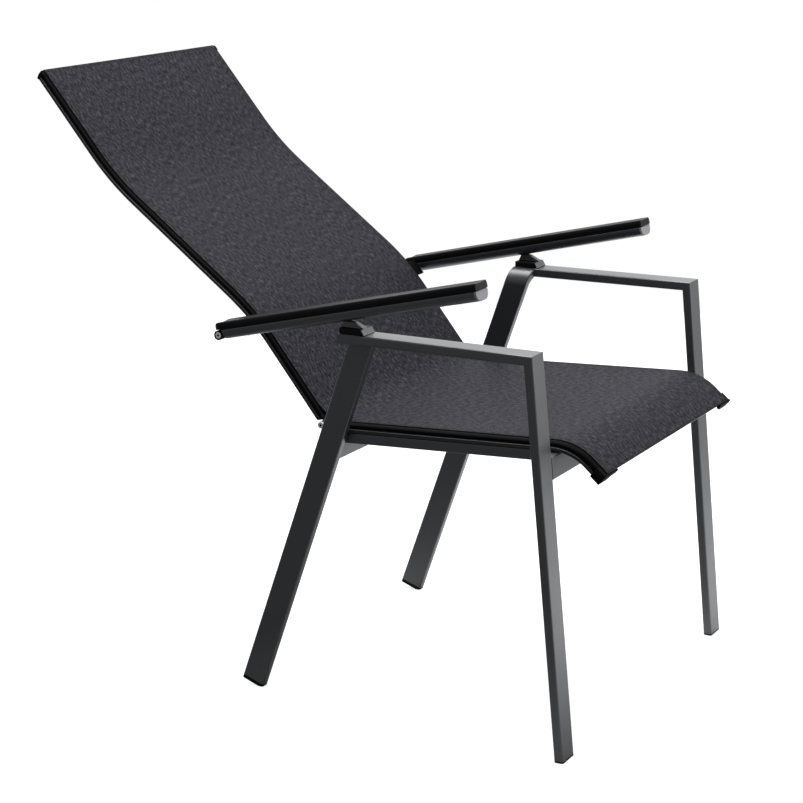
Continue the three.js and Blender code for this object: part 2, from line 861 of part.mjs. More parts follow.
// Top cap of a back rail: its end face slopes, so that the rear corner is cut away.
function backTopCap(sign) {
  const start = backRailEnd + fit;
  const { height, shoulderWidth, lipWidth } = backProfile;
  const outline = points([
    ...capCrest(railTop * shoulderTopShare + topCapRimHeight),
    [shoulderWidth, railTop * shoulderTopShare],
    [lipWidth + topCapRimHeight, railLipHeight - height],
    [lipWidth + topCapRimHeight, -height],
    [lipWidth, -height - topCapRimHeight],
    [-railInnerWidth, -height - topCapRimHeight],
  ]);
  const rings = section(outline);
  const x = crestHalfWidth;
  const from = backLine.frame(start, sign, x);
  const to = backLine.frame(start, sign, x);
  const { heading } = backLine.at(start);
  const along = new THREE.Vector3(0, Math.cos(heading), Math.sin(heading));
  to.origin.addScaledVector(along, topCapLength - fit);
  to.up.addScaledVector(along, (topCapLength - topCapHeelLength) / height);
  const cap = loft([
    { rings, frame: from },
    { rings, frame: to },
  ]);
  const plug = section(
    box(innerChamber.low + fit, innerChamber.high - fit, backChamberFloor + fit, innerChamberTop - fit),
  );
  return joined(cap, backLine.sweep(plug, start - plugDepth / 2, start + topCapHeelLength / 2, sign, x));
}

// Spreader bar between the inner faces of two rails.
function spreader(line, distance) {
  const rounding = (spreaderHeight - spreaderWall) / 2;
  const rings = tubeSection(spreaderWidth, spreaderHeight, rounding, spreaderWall);
  const [y, z] = line.point(distance, railTop - fit - spreaderHeight / 2);
  const { up, heading } = line.at(distance);
  const half = crestHalfWidth - railInnerWidth;
  const along = [0, Math.cos(heading), Math.sin(heading)];
  return loft([-half, half].map((x) => ({ rings, frame: frameAt([x, y, z], along, [0, up.y, up.z]) })));
}

// Armrest pieces, in a frame at the pivot: forward is -Y, the underside is below zero.
const armX = halfWidth - armWidth / 2;
const armInner = halfWidth - armWidth;
const armFloor = -armBelowPivot;
const channelHalf = channelWidth / 2;
const armRearGap = pivotBlockRadius + fit;
const armFrontEnd = -armReach;

function mirrored(half) {
  return half.map(([u, v]) => [-u, v]).reverse();
}

function armRailOutline() {
  const half = armWidth / 2;
  const roof = armFloor + channelDepth;
  const outer = armHullShares.map(([u, v]) => [half * u, armFloor + armRailHeight * v]);
  const inner = outer.slice(1).map(([u, v]) => [u - armWall, Math.max(v, armFloor + armWall)]);
  const side = [
    [channelHalf, armFloor],
    ...outer,
    ...inner.reverse(),
    [channelHalf + armWall, armFloor + armWall],
    [channelHalf + armWall, roof + armWall],
  ];
  return points([...side, ...mirrored(side), [-channelHalf, roof], [channelHalf, roof]]);
}

function armPadOutline() {
  const half = armWidth / 2;
  const low = armFloor + armRailHeight + armGrooveHeight;
  const height = armHeight - armRailHeight - armGrooveHeight;
  const side = [
    [half - 2 * armWall, armFloor + channelDepth + armWall + fit],
    [half - 2 * armWall, low],
    ...armPadShares.map(([u, v]) => [half * u, low + height * v]),
  ];
  return points([...side, [0, low + height - armGrooveHeight], ...mirrored(side)]);
}

function armCapOutline() {
  const half = armWidth / 2;
  const side = armHullShares.map(([u, v]) => [half * u, armFloor + armRailHeight * v]);
  return points([...side, ...mirrored(side)]);
}

function armPrism(outline, fromY, toY, sign) {
  const rings = section(outline);
  const ends = [fromY, toY];
  return loft(ends.map((y) => ({ rings, frame: frameAt([sign * armX, y, 0], [sign, 0, 0], [0, 0, 1]) })));
}

function channelPlug(fromY, toY, sign) {
  const half = channelHalf - fit;
  return armPrism(box(-half, half, armFloor + fit, armFloor + channelDepth - fit), fromY, toY, sign);
}

function armFrontCap(sign) {
  const inside = armFrontEnd + armCapThickness;
  const plate = armPrism(armCapOutline(), armFrontEnd, inside, sign);
  return joined(plate, channelPlug(inside - armCapThickness / 2, inside + plugDepth / 2, sign));
}

// Pivot block: a barrel round the pivot bolt with a plug in the arm's channel.
function armPivotBlock(sign) {
  const seat = halfWidth - pivotHeadHeight - fit;
  const bore = pivotBoltRadius + fit;
  const headBore = pivotHeadRadius + fit;
  const barrel = turnedAcross(
    [
      [bore, armInner],
      [pivotBlockRadius, armInner],
      [pivotBlockRadius, halfWidth],
      [headBore, halfWidth],
      [headBore, seat],
      [bore, seat],
      [bore, armInner],
    ],
    sign,
  );
  return joined(barrel, channelPlug(-armRearGap - plugDepth, -headBore - fit, sign));
}

// The support on the side bar holds the latch, and the arm lies on it from its pivot.
const supportRear = rearLegTopFront + rearLegDepth - supportRearInset;
const supportFront = supportRear - supportLength;
const earFront = supportFront + supportRamp;
const plateTop = barHeight + supportHeight;
const earTop = plateTop + earHeight;
const latchY = supportRear - latchInset;
const latchZ = earTop + latchAboveEar;
const [armPivotY, armPivotZ] = backLine.point(armPivotAlong, -armPivotBelow);

// Where the latch stands on the arm at the two ends of the recline.
const latchHeight = armFloor + latchRise;
const latchSpan = Math.hypot(armPivotY - latchY, latchZ - armPivotZ);
const latchAtRest = Math.sqrt(latchSpan ** 2 - latchHeight ** 2);
const tilt = Math.atan2(latchZ - armPivotZ, armPivotY - latchY) - Math.asin(latchHeight / latchSpan);
const swing = radians(reclineRange);
const uprightPivotY =
  hingeY + (armPivotY - hingeY) * Math.cos(swing) - (armPivotZ - hingeZ) * Math.sin(swing);
const latchUpright = uprightPivotY - latchY;

// Rack in the arm's channel: stops beyond both ends of the travel, scallops between them.
function armRack(sign) {
  const low = latchHeight + latchRadius + fit;
  const top = armFloor + channelDepth - fit;
  const floor = latchHeight;
  const reach = latchRadius + fit;
  const drop = rackScallopRadius / 2;
  const lowest = THREE.MathUtils.radToDeg(Math.asin(drop / rackScallopRadius));
  const scallops = [];
  for (let position = 1; position < rackPositions - 1; position += 1) {
    const share = position / (rackPositions - 1);
    const place = -(latchAtRest + (latchUpright - latchAtRest) * share);
    scallops.push(...arcPoints(place, low - drop, rackScallopRadius, 180 - lowest, lowest, bendSteps));
  }
  const front = -latchAtRest - reach;
  const rear = -latchUpright + reach;
  const outline = points([
    [front - rackStop, floor],
    [front, floor],
    [front, low],
    ...scallops,
    [rear, low],
    [rear, floor],
    [rear + rackStop, floor],
    [rear + rackStop, top],
    [front - rackStop, top],
  ]);
  const half = channelHalf - fit;
  return acrossPrism(section(outline), sign * (armX - half), sign * (armX + half));
}

// Bracket: a cast ear on the outer side of a back rail that carries the arm's pivot bolt.
function armBracket(sign) {
  const turn = THREE.MathUtils.radToDeg(backLine.at(armPivotAlong).heading);
  const underside = -backProfile.height;
  const ledge = underside + railLipHeight - railCorner;
  const low = armPivotAlong - bracketBelow;
  const high = armPivotAlong + bracketAbove;
  const outline = points([
    backLine.point(low, ledge),
    backLine.point(high, ledge),
    backLine.point(high, underside),
    ...arcPoints(armPivotY, armPivotZ, bracketEarRadius, turn, turn - 180, roundSteps / 2),
    backLine.point(low, underside),
  ]);
  const rings = section(outline, [circle(armPivotY, armPivotZ, pivotBoltRadius + fit)]);
  return acrossPrism(rings, sign * backRailOuter, sign * (armInner - fit));
}

function armPivotBolt(sign) {
  const inner = backRailOuter + pivotBoltInset;
  const geometry = bolt(sign, pivotBoltRadius, pivotHeadRadius, pivotHeadHeight, inner, halfWidth);
  return geometry.translate(0, armPivotY, armPivotZ);
}

// Support: a block on the bar's rear end with a ramp at its front, an ear on it and a neck
// that reaches into the arm.
function armSupport(sign) {
  const plateX = sign * (rearEndX - endCapThickness / 2 - supportWidth / 2);
  const level = (front, z) => ({
    rings: section(roundedBox(supportWidth, supportRear - front, supportCorner)),
    frame: frameAt([plateX, (front + supportRear) / 2, z], [1, 0, 0], [0, 1, 0]),
  });
  const plate = loft([level(supportFront, barHeight), level(earFront, plateTop)]);
  const root = plateTop - supportHeight / 2;
  const ear = points([
    [earFront + fit, root],
    [supportRear - fit, root],
    [supportRear - fit, plateTop + earHeight * earFrontShare],
    [supportFront + supportLength * earRearShare, earTop],
    [supportFront + supportLength * earSlopeShare, earTop],
    [earFront + fit, plateTop + earHeight * earFrontShare],
  ]);
  const neck = points([
    [latchY - latchRadius, earTop - supportHeight / 2],
    [latchY + latchRadius, earTop - supportHeight / 2],
    ...arcPoints(latchY, latchZ, latchRadius, 0, 180, roundSteps / 2),
  ]);
  const acrossX = (thickness) => [sign * (armX - thickness / 2), sign * (armX + thickness / 2)];
  const body = joined(
    plate,
    acrossPrism(section(ear), ...acrossX(earThickness)),
    acrossPrism(section(neck), ...acrossX(neckThickness)),
  );
  const pinHole = section(circle(latchY, latchZ, latchPinRadius + fit / 2));
  return cut(body, acrossPrism(pinHole, ...acrossX(latchLength)));
}

function latchPin(sign) {
  const half = latchLength / 2;
  const geometry = turnedAcross(
    [
      [0, armX - half],
      [latchPinRadius, armX - half],
      [latchPinRadius, armX + half],
      [0, armX + half],
    ],
    sign,
  );
  return geometry.translate(0, latchY, latchZ);
}

// Assembly of the fixed frame and the seat.
const seatSlingEnd = seatLine.length - frontCapLipLength - fit;
const slingSection = section(slingOutline());

for (const { name, sign } of sides) {
  addPart(chair, `front_leg_${name}`, frontLeg(sign), coatedMetal);
  addPart(chair, `rear_leg_${name}`, rearLeg(sign), coatedMetal);
  addPart(chair, `side_bar_${name}`, topBar(sign), coatedMetal);
  addPart(chair, `bar_end_cap_${name}`, endCap(sign), blackPlastic);
  addPart(chair, `front_glide_${name}`, frontGlide(sign), blackPlastic);
  addPart(chair, `rear_glide_${name}`, rearGlide(sign), blackPlastic);
  addPart(chair, `seat_stretcher_${name}`, seatStretcher(sign), coatedMetal);
  addPart(chair, `arm_support_${name}`, armSupport(sign), blackPlastic);
  addPart(chair, `latch_pin_${name}`, latchPin(sign), stainless);

  const seatRail = seatLine.sweep(seatRailSection, seatRailClear, seatRailEnd, sign, crestHalfWidth);
  addPart(chair, `seat_rail_${name}`, seatRail, railMetal);
  const seatKeder = seatLine.sweep(kederSection, seatRailClear, seatRailEnd, sign, crestHalfWidth);
  addPart(chair, `seat_keder_${name}`, seatKeder, blackPlastic);
  addPart(chair, `seat_front_cap_${name}`, seatFrontCap(sign), blackPlastic);
  addPart(chair, `seat_hinge_lug_${name}`, seatHingeLug(sign), stainless);
  addPart(chair, `hinge_bolt_${name}`, hingeBolt(sign), stainless);
  addPart(chair, `hinge_nut_${name}`, hingeNut(sign), stainless);
}
addPart(chair, 'front_cross_tube', frontCrossTube(), coatedMetal);
addPart(chair, 'rear_cross_tube', rearCrossTube(), coatedMetal);
addPart(chair, 'seat_front_spreader', spreader(seatLine, seatLine.length - hemInset), railMetal);
addPart(chair, 'seat_sling', seatLine.sweep(slingSection, seatRailClear, seatSlingEnd), slingFabric);

// Assembly of the reclining back.
for (const { name, sign } of sides) {
  const backRail = backLine.sweep(backRailSection, backRailClear, backRailEnd, sign, crestHalfWidth);
  addPart(chair, `back_rail_${name}`, backRail, railMetal);
  const backKeder = backLine.sweep(kederSection, backRailClear, backRailEnd, sign, crestHalfWidth);
  addPart(chair, `back_keder_${name}`, backKeder, blackPlastic);
  addPart(chair, `back_top_cap_${name}`, backTopCap(sign), blackPlastic);
  addPart(chair, `back_hinge_lug_${name}`, backHingeLug(sign), stainless);
  addPart(chair, `arm_bracket_${name}`, armBracket(sign), blackPlastic);
  addPart(chair, `arm_pivot_bolt_${name}`, armPivotBolt(sign), stainless);
}
const backSlingEnd = backLine.length - fit;
addPart(chair, 'back_top_spreader', spreader(backLine, backLine.length - hemInset), railMetal);
addPart(chair, 'back_lower_spreader', spreader(backLine, lowerSpreaderPlace), railMetal);
addPart(chair, 'back_sling', backLine.sweep(slingSection, backRailClear, backSlingEnd), slingFabric);

// Assembly of the armrests, tilted up towards the front.
const arms = new THREE.Group();
arms.position.set(0, armPivotY, armPivotZ);
arms.rotation.x = -tilt;
chair.add(arms);
for (const { name, sign } of sides) {
  const railFront = armFrontEnd + armCapThickness + fit;
  addPart(arms, `arm_rail_${name}`, armPrism(armRailOutline(), railFront, -armRearGap, sign), coatedMetal);
  addPart(arms, `arm_pad_${name}`, armPrism(armPadOutline(), armFrontEnd, padOverhang, sign), blackPlastic);
  addPart(arms, `arm_front_cap_${name}`, armFrontCap(sign), greyPlastic);
  addPart(arms, `arm_rack_${name}`, armRack(sign), blackPlastic);
  addPart(arms, `arm_pivot_block_${name}`, armPivotBlock(sign), blackPlastic);
}

// The origin goes to the middle of the chair's footprint, on the floor.
chair.updateMatrixWorld(true);
const extent = new THREE.Box3().setFromObject(chair, true);
chair.position.y = -(extent.min.y + extent.max.y) / 2;

export default chair;
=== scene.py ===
"""Looks of a reclining patio chair with a sling seat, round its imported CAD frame.

Metres. X runs across the chair, the front faces -Y and +Z is up. Distances in the side
view are measured as in the CAD part, from the top of the front legs.
"""

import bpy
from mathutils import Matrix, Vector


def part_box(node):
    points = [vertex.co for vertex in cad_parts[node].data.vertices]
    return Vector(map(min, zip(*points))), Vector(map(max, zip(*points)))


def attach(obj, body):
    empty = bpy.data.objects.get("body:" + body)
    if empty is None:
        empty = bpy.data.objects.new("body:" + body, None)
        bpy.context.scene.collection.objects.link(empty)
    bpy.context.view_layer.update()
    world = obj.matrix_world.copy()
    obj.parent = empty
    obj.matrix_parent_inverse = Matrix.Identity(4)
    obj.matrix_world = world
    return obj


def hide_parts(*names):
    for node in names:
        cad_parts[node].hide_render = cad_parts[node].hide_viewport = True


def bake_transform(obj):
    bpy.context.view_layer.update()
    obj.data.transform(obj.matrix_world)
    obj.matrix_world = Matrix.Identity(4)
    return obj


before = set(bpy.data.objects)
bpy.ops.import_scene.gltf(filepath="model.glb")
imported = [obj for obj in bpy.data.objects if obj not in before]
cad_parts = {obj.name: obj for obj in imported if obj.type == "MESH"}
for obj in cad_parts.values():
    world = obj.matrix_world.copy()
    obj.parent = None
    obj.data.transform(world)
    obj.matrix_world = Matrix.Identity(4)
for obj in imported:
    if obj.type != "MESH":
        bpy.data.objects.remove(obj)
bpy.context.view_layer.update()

import math

import bmesh
import bpy
import numpy as np
from mathutils import Matrix, Vector

mm = 0.001

# Overall sizes and the flat tube of the frame, as in the CAD part.
chair_width = 600 * mm
bar_height = 566 * mm
bar_toe_in = 4.5 * mm
tube_face = 37 * mm
tube_thickness = 13.5 * mm
tube_corner = 2.5 * mm
front_glide_height = 2.5 * mm
rear_glide_height = 6 * mm
front_foot_reach = 53 * mm
rear_leg_lead = 102 * mm
rear_foot_setback = 200 * mm
rear_foot_sink = 2.5 * mm
rear_leg_gap = 1 * mm
bend_radius = 12 * mm
bend_steps = 16
end_cap_thickness = 2.5 * mm

# Seat rail, back rail and their profile.
seat_curve_lead = 0.6 * mm
seat_slope = 2.6
seat_run_length = 363.6 * mm
seat_front_radius = 86 * mm
seat_front_turn = 44.3
seat_lip_length = 28.3 * mm
seat_hinge_depth = 6.75 * mm
seat_rail_clear = 14.5 * mm
back_heading = 51.5
back_hinge_depth = 10 * mm
back_lower_length = 141 * mm
lumbar_radius = 378 * mm
lumbar_turn = 14.7
back_long_length = 204 * mm
neck_radius = 409 * mm
neck_turn = 13.4
head_length = 148 * mm
back_rail_clear = 12 * mm
seat_profile = {"height": 13.5 * mm, "shoulder": 11 * mm, "lip": 14.5 * mm}
back_profile = {"height": 11.2 * mm, "shoulder": 8.2 * mm, "lip": 11.5 * mm}
rail_inner_width = 11 * mm
rail_lip_height = 5 * mm
rail_corner = 1.4 * mm
rail_step_corner = 0.7 * mm
rail_arc_step = 6 * mm
slot_width = 3 * mm
keder_depth = 6.2 * mm
keder_bore = 2.8 * mm
bore_steps = 14
rail_top = -2.3 * mm
shoulder_top = -1.3 * mm
shoulder_drop_share = 0.55
shoulder_steps = 10
front_cap_length = 17 * mm
front_cap_lip = 3.3 * mm
top_cap_length = 9 * mm
cap_gap = 0.3 * mm
plug_above_hinge = 7.4 * mm
plug_rise = 0.1

# Armrests, in a frame at their pivot with the front towards -Y.
arm_width = 36.5 * mm
arm_height = 25.5 * mm
arm_below_pivot = 7.5 * mm
arm_reach = 423 * mm
arm_groove_height = 1 * mm
arm_rail_height = 14.2 * mm
arm_wall = 2 * mm
hull_top_corner = 0.9 * mm
arm_bracket_reach = 24 * mm
channel_width = 11 * mm
channel_depth = 12.6 * mm
pivot_block_gap = 7.3 * mm
shield_thickness = 4 * mm
shield_inset = 0.9 * mm
pad_overhang = 5.5 * mm
pad_dish_share = 0.6
pad_dish_edge = 0.6 * mm
latch_rise = 2 * mm
support_block_height = 8.5 * mm
hull_shares = ((0.38, 0), (0.58, 0.07), (0.77, 0.22), (0.89, 0.42), (0.965, 0.7), (0.98, 1))
pad_shares = ((0.98, 0), (1, 0.4), (0.975, 0.7), (0.93, 0.9), (0.86, 1))

# Rings of the pad: place along it, inset of its sides and drop of its top.
pad_stations = (
    (-arm_reach, 1.2 * mm, 0.9 * mm),
    (-arm_reach + 0.4 * mm, 0.5 * mm, 0.35 * mm),
    (-arm_reach + 1.2 * mm, 0, 0),
    (pad_overhang - 9 * mm, 0, 0),
    (pad_overhang - 6 * mm, 0.6 * mm, 0.3 * mm),
    (pad_overhang - 3.5 * mm, 1.8 * mm, 0.9 * mm),
    (pad_overhang - 1.5 * mm, 3.6 * mm, 1.8 * mm),
    (pad_overhang - 0.4 * mm, 6 * mm, 3 * mm),
    (pad_overhang, 8 * mm, 4 * mm),
)
# Rings of the front cap: place along the arm and inset.
shield_stations = (
    (-arm_reach + shield_inset, 1.0 * mm),
    (-arm_reach + shield_inset + 0.3 * mm, 0.5 * mm),
    (-arm_reach + shield_inset + 0.8 * mm, 0.1 * mm),
    (-arm_reach + shield_thickness, 0.1 * mm),
)

# Sling: one sheet from the seat's front edge to the back's top edge.
sling_thickness = 1 * mm
sling_corner_radius = 59 * mm
sling_top_gap = 0.3 * mm
seat_sag = 4 * mm
back_sag = 3.5 * mm
end_sag = 0.3 * mm
sling_rows = 220
sling_columns = 44
# The cloth's edge, from the crest over the shoulder into the slot: place and height.
sling_edge = (
    (-1.6 * mm, 0), (0, -0.05 * mm), (0.3 * mm, -0.1 * mm), (0.9 * mm, -0.3 * mm),
    (1.6 * mm, -0.9 * mm), (2.0 * mm, -1.7 * mm), (2.05 * mm, -3.4 * mm),
)
# Past this, the cloth's edge where it turns into the slot is painted black: painted shade.
slot_shade_start = 0.3 * mm
front_spreader_inset = 15 * mm
lower_spreader_place = 46 * mm

# Seams of the sling.
keder_seam_inset = 5 * mm
edge_seam_start = 6 * mm
front_hem_start = 0.6 * mm
front_hem_width = 17 * mm
front_seam_inset = 2 * mm
top_hem_width = 4.5 * mm
top_hem_end = 0.4 * mm
top_seam_insets = (1.2 * mm, top_hem_width - 1 * mm)
hem_thickness = 0.9 * mm
hem_rows = 6
seam_step = 8 * mm
stitch_pitch = 3.2 * mm
stitch_length = 2.4 * mm
thread_radius = 0.28 * mm

# How finely meshes are cut, and where they are rounded, shaded and painted.
tube_corner_steps = 5
small_corner_steps = 4
curve_steps = 4
weld_distance = 0.01 * mm
flat_angle = math.radians(1)
sharp_angle = math.radians(30)
smooth_angle = math.radians(42)
tube_softness = 0.3 * mm
casting_grain = 0.7 * mm
casting_passes = 6
coat_above_block = 0.5 * mm
front_facing = -0.6
# Reach of the painted shade in a bolt head's socket.
socket_reach = 1.85 * mm

# Woven cloth and surface grain.
yarn_pitch = 1.3 * mm
yarn_run_share = 0.12
warp_seed, weft_seed = 3.0, 7.0
yarn_weight, mottle_weight = 0.4, 0.6
mottle_stretch = (1.5, 0.6, 1.0)
mottle_scale, mottle_detail, mottle_roughness = 190.0, 2.5, 0.7
mottle_span = (0.38, 0.64)
shade_power = 1.85
# Painted shade: the cloth is darker where its yarns dip under each other.
valley_shade_span = (0.0, 0.6, 0.45, 1.0)
yarn_roughness_span = (0.0, 1.0, 0.55, 0.75)
grain_detail = 3.0
speck_span = (0.52, 0.72)
cloud_scale = 14.0

# The photo's camera. Its y is measured from the legs' top too.
camera_place = Vector((-2.8100, -1.1886, 1.2159))
camera_turns = {"yaw": 61.124, "pitch": 14.348, "roll": -0.339}
camera_lens = 97.16
sensor_width = 36

# Studio. Each span has two values of the direction, then the light at each, where that
# isn't 0 and 1.
floor_radius = 2.6
floor_segments = 96
floor_roughness = 0.9
floor_shine = 0.1
floor_white = 0.62
floor_glow = 0.75
floor_dark, floor_bright = 0.1, 0.95
bright_side = (0.85, -0.5, 0)
near_side_span = (-0.5, 0.5)
far_fade_span = (0.9, 2.2, 1.0, 0.3)
bright_sky = (0.7, 0.6, 0.4)
sky_span = (0.2, 0.95, 0.22, 1.5)
lamp_target = (0, 0, 0.4)
# Each softbox: place, size and power.
softboxes = {
    "overhead_softbox": ((0.3, 0.2, 2.9), 2.4, 70),
    "front_softbox": ((1.5, -2.2, 1.1), 1.6, 26),
}

collection = bpy.context.scene.collection
sides = (("right", -1), ("left", 1))


def middle(node):
    low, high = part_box(node)
    return (low + high) / 2


# Lines of the chair in the side view.
class SideLine:
    """A line made of straight runs and arcs, measured by distance."""

    def __init__(self, start, heading, up_side, runs):
        self.up_side = up_side
        self.pieces = []
        state = (start[0], start[1], math.radians(heading))
        begin = 0.0
        for length, turn in runs:
            bend = math.radians(turn) / length
            self.pieces.append((begin, length, bend, state))
            state = self.advance(state, length, bend)
            begin += length
        self.length = begin

    @staticmethod
    def advance(state, distance, bend):
        y, z, heading = state
        if bend == 0:
            return y + distance * math.cos(heading), z + distance * math.sin(heading), heading
        turned = heading + distance * bend
        y += (math.sin(turned) - math.sin(heading)) / bend
        z -= (math.cos(turned) - math.cos(heading)) / bend
        return y, z, turned

    def at(self, distance):
        """The crest's y and z, the heading, and the direction away from the rail."""
        piece = self.pieces[0]
        for candidate in self.pieces:
            if distance > candidate[0]:
                piece = candidate
        begin, _, bend, state = piece
        y, z, heading = self.advance(state, distance - begin, bend)
        up = (-math.sin(heading) * self.up_side, math.cos(heading) * self.up_side)
        return y, z, heading, up

    def stops(self, begin, end, step):
        """Both ends, every end of a run, and steps along each arc."""
        stops = {begin, end}
        for start, length, bend, _ in self.pieces:
            count = max(1, round(length / step)) if bend else 1
            for index in range(count + 1):
                stop = start + length * index / count
                if begin + step / 4 < stop < end - step / 4:
                    stops.add(stop)
        return sorted(stops)


def arc(radius, turn):
    return radius * math.radians(abs(turn)), turn


def line_from_hinge(heading, up_side, depth, runs):
    """A rail's crest. It starts a depth away from the hinge."""
    turn = math.radians(heading)
    y = hinge_y - depth * up_side * math.sin(turn)
    z = hinge.z + depth * up_side * math.cos(turn)
    return SideLine((y, z), heading, up_side, runs)


half_width = chair_width / 2
crest_half_width = half_width - arm_width - arm_bracket_reach - seat_profile["lip"]
hinge_y = seat_run_length - seat_curve_lead
hinge = middle("hinge_bolt_right")
origin_y = hinge.y - hinge_y
rear_leg_top_front = hinge_y - rear_leg_lead
rear_leg_inner = crest_half_width + seat_profile["lip"] + rear_leg_gap
rear_end_x = half_width - bar_toe_in
toe_slope = bar_toe_in / rear_leg_top_front
front_lean = front_foot_reach / bar_height
leg_depth = tube_thickness * math.hypot(1, front_lean)
bar_middle = bar_height - tube_thickness / 2
rear_lean = rear_foot_setback / bar_middle
rear_leg_depth = tube_face * math.hypot(1, rear_lean)

seat_heading = 180 - seat_slope
seat_line = line_from_hinge(
    seat_heading, -1, seat_hinge_depth,
    [(seat_run_length, 0), arc(seat_front_radius, seat_front_turn), (seat_lip_length, 0)],
)
back_line = line_from_hinge(
    back_heading, 1, back_hinge_depth,
    [
        (back_lower_length, 0),
        arc(lumbar_radius, -lumbar_turn),
        (back_long_length, 0),
        arc(neck_radius, neck_turn),
        (head_length, 0),
    ],
)


def sling_crest():
    """The fabric's own line: the seat rail's crest, a round corner, the back rail's crest."""
    turn = back_heading + seat_slope
    tangent = sling_corner_radius * math.tan(math.radians(turn) / 2)
    seat_way, back_way = [
        Vector((math.cos(math.radians(heading)), math.sin(math.radians(heading))))
        for heading in (seat_heading, back_heading)
    ]
    (seat_y, seat_z), (back_y, back_z) = seat_line.at(0)[:2], back_line.at(0)[:2]
    gap = Vector((back_y - seat_y, back_z - seat_z))
    cross = seat_way.cross(back_way)
    seat_skip = gap.cross(back_way) / cross + tangent
    back_skip = gap.cross(seat_way) / cross + tangent
    return SideLine(
        seat_line.at(seat_line.length - front_cap_lip)[:2],
        seat_front_turn - seat_slope,
        1,
        [
            (seat_lip_length - front_cap_lip, 0),
            arc(seat_front_radius, -seat_front_turn),
            (seat_run_length - seat_skip, 0),
            arc(sling_corner_radius, turn),
            (back_lower_length - back_skip, 0),
            arc(lumbar_radius, -lumbar_turn),
            (back_long_length, 0),
            arc(neck_radius, neck_turn),
            (head_length - sling_top_gap, 0),
        ],
    )


sling_line = sling_crest()


# Making of meshes.
def new_piece(name, mesh, materials):
    piece = bpy.data.objects.new(name, mesh)
    collection.objects.link(piece)
    for material in materials:
        mesh.materials.append(material)
    return piece


def shade(mesh, split=smooth_angle):
    """Smooth shading that leans to the larger faces, so that flats stay flat."""
    count = len(mesh.polygons)
    normals = np.zeros(count * 3)
    areas = np.zeros(count)
    mesh.polygons.foreach_get("normal", normals)
    mesh.polygons.foreach_get("area", areas)
    normals = normals.reshape(-1, 3)
    around = [[] for _ in mesh.vertices]
    for polygon in mesh.polygons:
        for vertex in polygon.vertices:
            around[vertex].append(polygon.index)
    limit = math.cos(split)
    corners = []
    for polygon in mesh.polygons:
        own = normals[polygon.index]
        for vertex in polygon.vertices:
            near = around[vertex]
            turned = normals[near] @ own
            weight = areas[near] * (turned > limit)
            normal = weight @ normals[near]
            corners.append(normal / (np.linalg.norm(normal) or 1))
    mesh.polygons.foreach_set("use_smooth", [True] * count)
    mesh.normals_split_custom_set(corners)


def to_mesh(name, body, outward=True):
    """Turns a bmesh into a mesh whose faces point outwards."""
    if outward:
        bmesh.ops.recalc_face_normals(body, faces=body.faces)
        if body.calc_volume(signed=True) < 0:
            bmesh.ops.reverse_faces(body, faces=body.faces)
    mesh = bpy.data.meshes.new(name)
    body.to_mesh(mesh)
    body.free()
    return mesh


def shell(name, rings, looks=None):
    """A closed body through rings of points. looks picks a material for each ring edge."""
    body = bmesh.new()
    layers = [[body.verts.new(point) for point in ring] for ring in rings]
    size = len(rings[0])
    for near, far in zip(layers, layers[1:]):
        for index in range(size):
            after = (index + 1) % size
            face = body.faces.new((near[index], near[after], far[after], far[index]))
            face.material_index = looks[index] if looks else 0
    body.faces.new(layers[0])
    body.faces.new(layers[-1])
    return to_mesh(name, body)


def round_edges(body, width):
    body.normal_update()
    edges = [edge for edge in body.edges
             if len(edge.link_faces) == 2 and edge.calc_face_angle() > sharp_angle]
    bmesh.ops.bevel(body, geom=edges, offset=width, offset_type="OFFSET", segments=2,
                    profile=0.5, affect="EDGES", clamp_overlap=True)


def merged_copy(node):
    """A copy of a CAD node's mesh, its loose triangles joined into whole faces."""
    body = bmesh.new()
    body.from_mesh(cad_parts[node].data)
    bmesh.ops.remove_doubles(body, verts=body.verts, dist=weld_distance)
    bmesh.ops.dissolve_limit(body, angle_limit=flat_angle, verts=body.verts, edges=body.edges)
    return body


def dressed(node, ending, material, softness):
    """A CAD node's own shape with rounded edges and a finish."""
    body = merged_copy(node)
    round_edges(body, softness)
    name = f"{node}_{ending}"
    mesh = to_mesh(name, body, outward=False)
    shade(mesh)
    return new_piece(name, mesh, [material])


def cast(node, material):
    """A CAD node's own shape with the flowing corners of a casting."""
    name = f"{node}_casting"
    piece = new_piece(name, to_mesh(name, merged_copy(node), outward=False), [material])
    remesh = piece.modifiers.new("grain", "REMESH")
    remesh.mode = "VOXEL"
    remesh.voxel_size = casting_grain
    flow = piece.modifiers.new("flow", "SMOOTH")
    flow.factor = 0.5
    flow.iterations = casting_passes
    return settled(piece, [material])


def settled(piece, materials):
    """Applies a piece's modifiers to its mesh."""
    graph = bpy.context.evaluated_depsgraph_get()
    mesh = bpy.data.meshes.new_from_object(piece.evaluated_get(graph))
    mesh.name = piece.name
    piece.modifiers.clear()
    piece.data = mesh
    mesh.materials.clear()
    for material in materials:
        mesh.materials.append(material)
    mesh.polygons.foreach_set("use_smooth", [True] * len(mesh.polygons))
    return piece


def even_stops(begin, end, count):
    return [begin + (end - begin) * step / count for step in range(count + 1)]


def arc_points(centre_u, centre_v, radius, begin, end, steps=small_corner_steps):
    turns = [math.radians(turn) for turn in even_stops(begin, end, steps)]
    return [(centre_u + radius * math.cos(t), centre_v + radius * math.sin(t)) for t in turns]


def rounded_box(width, height, radius):
    u, v = width / 2 - radius, height / 2 - radius
    corners = ((u, v), (-u, v), (-u, -v), (u, -v))
    return [
        point
        for index, corner in enumerate(corners)
        for point in arc_points(*corner, radius, 90 * index, 90 * index + 90,
                                tube_corner_steps)
    ]


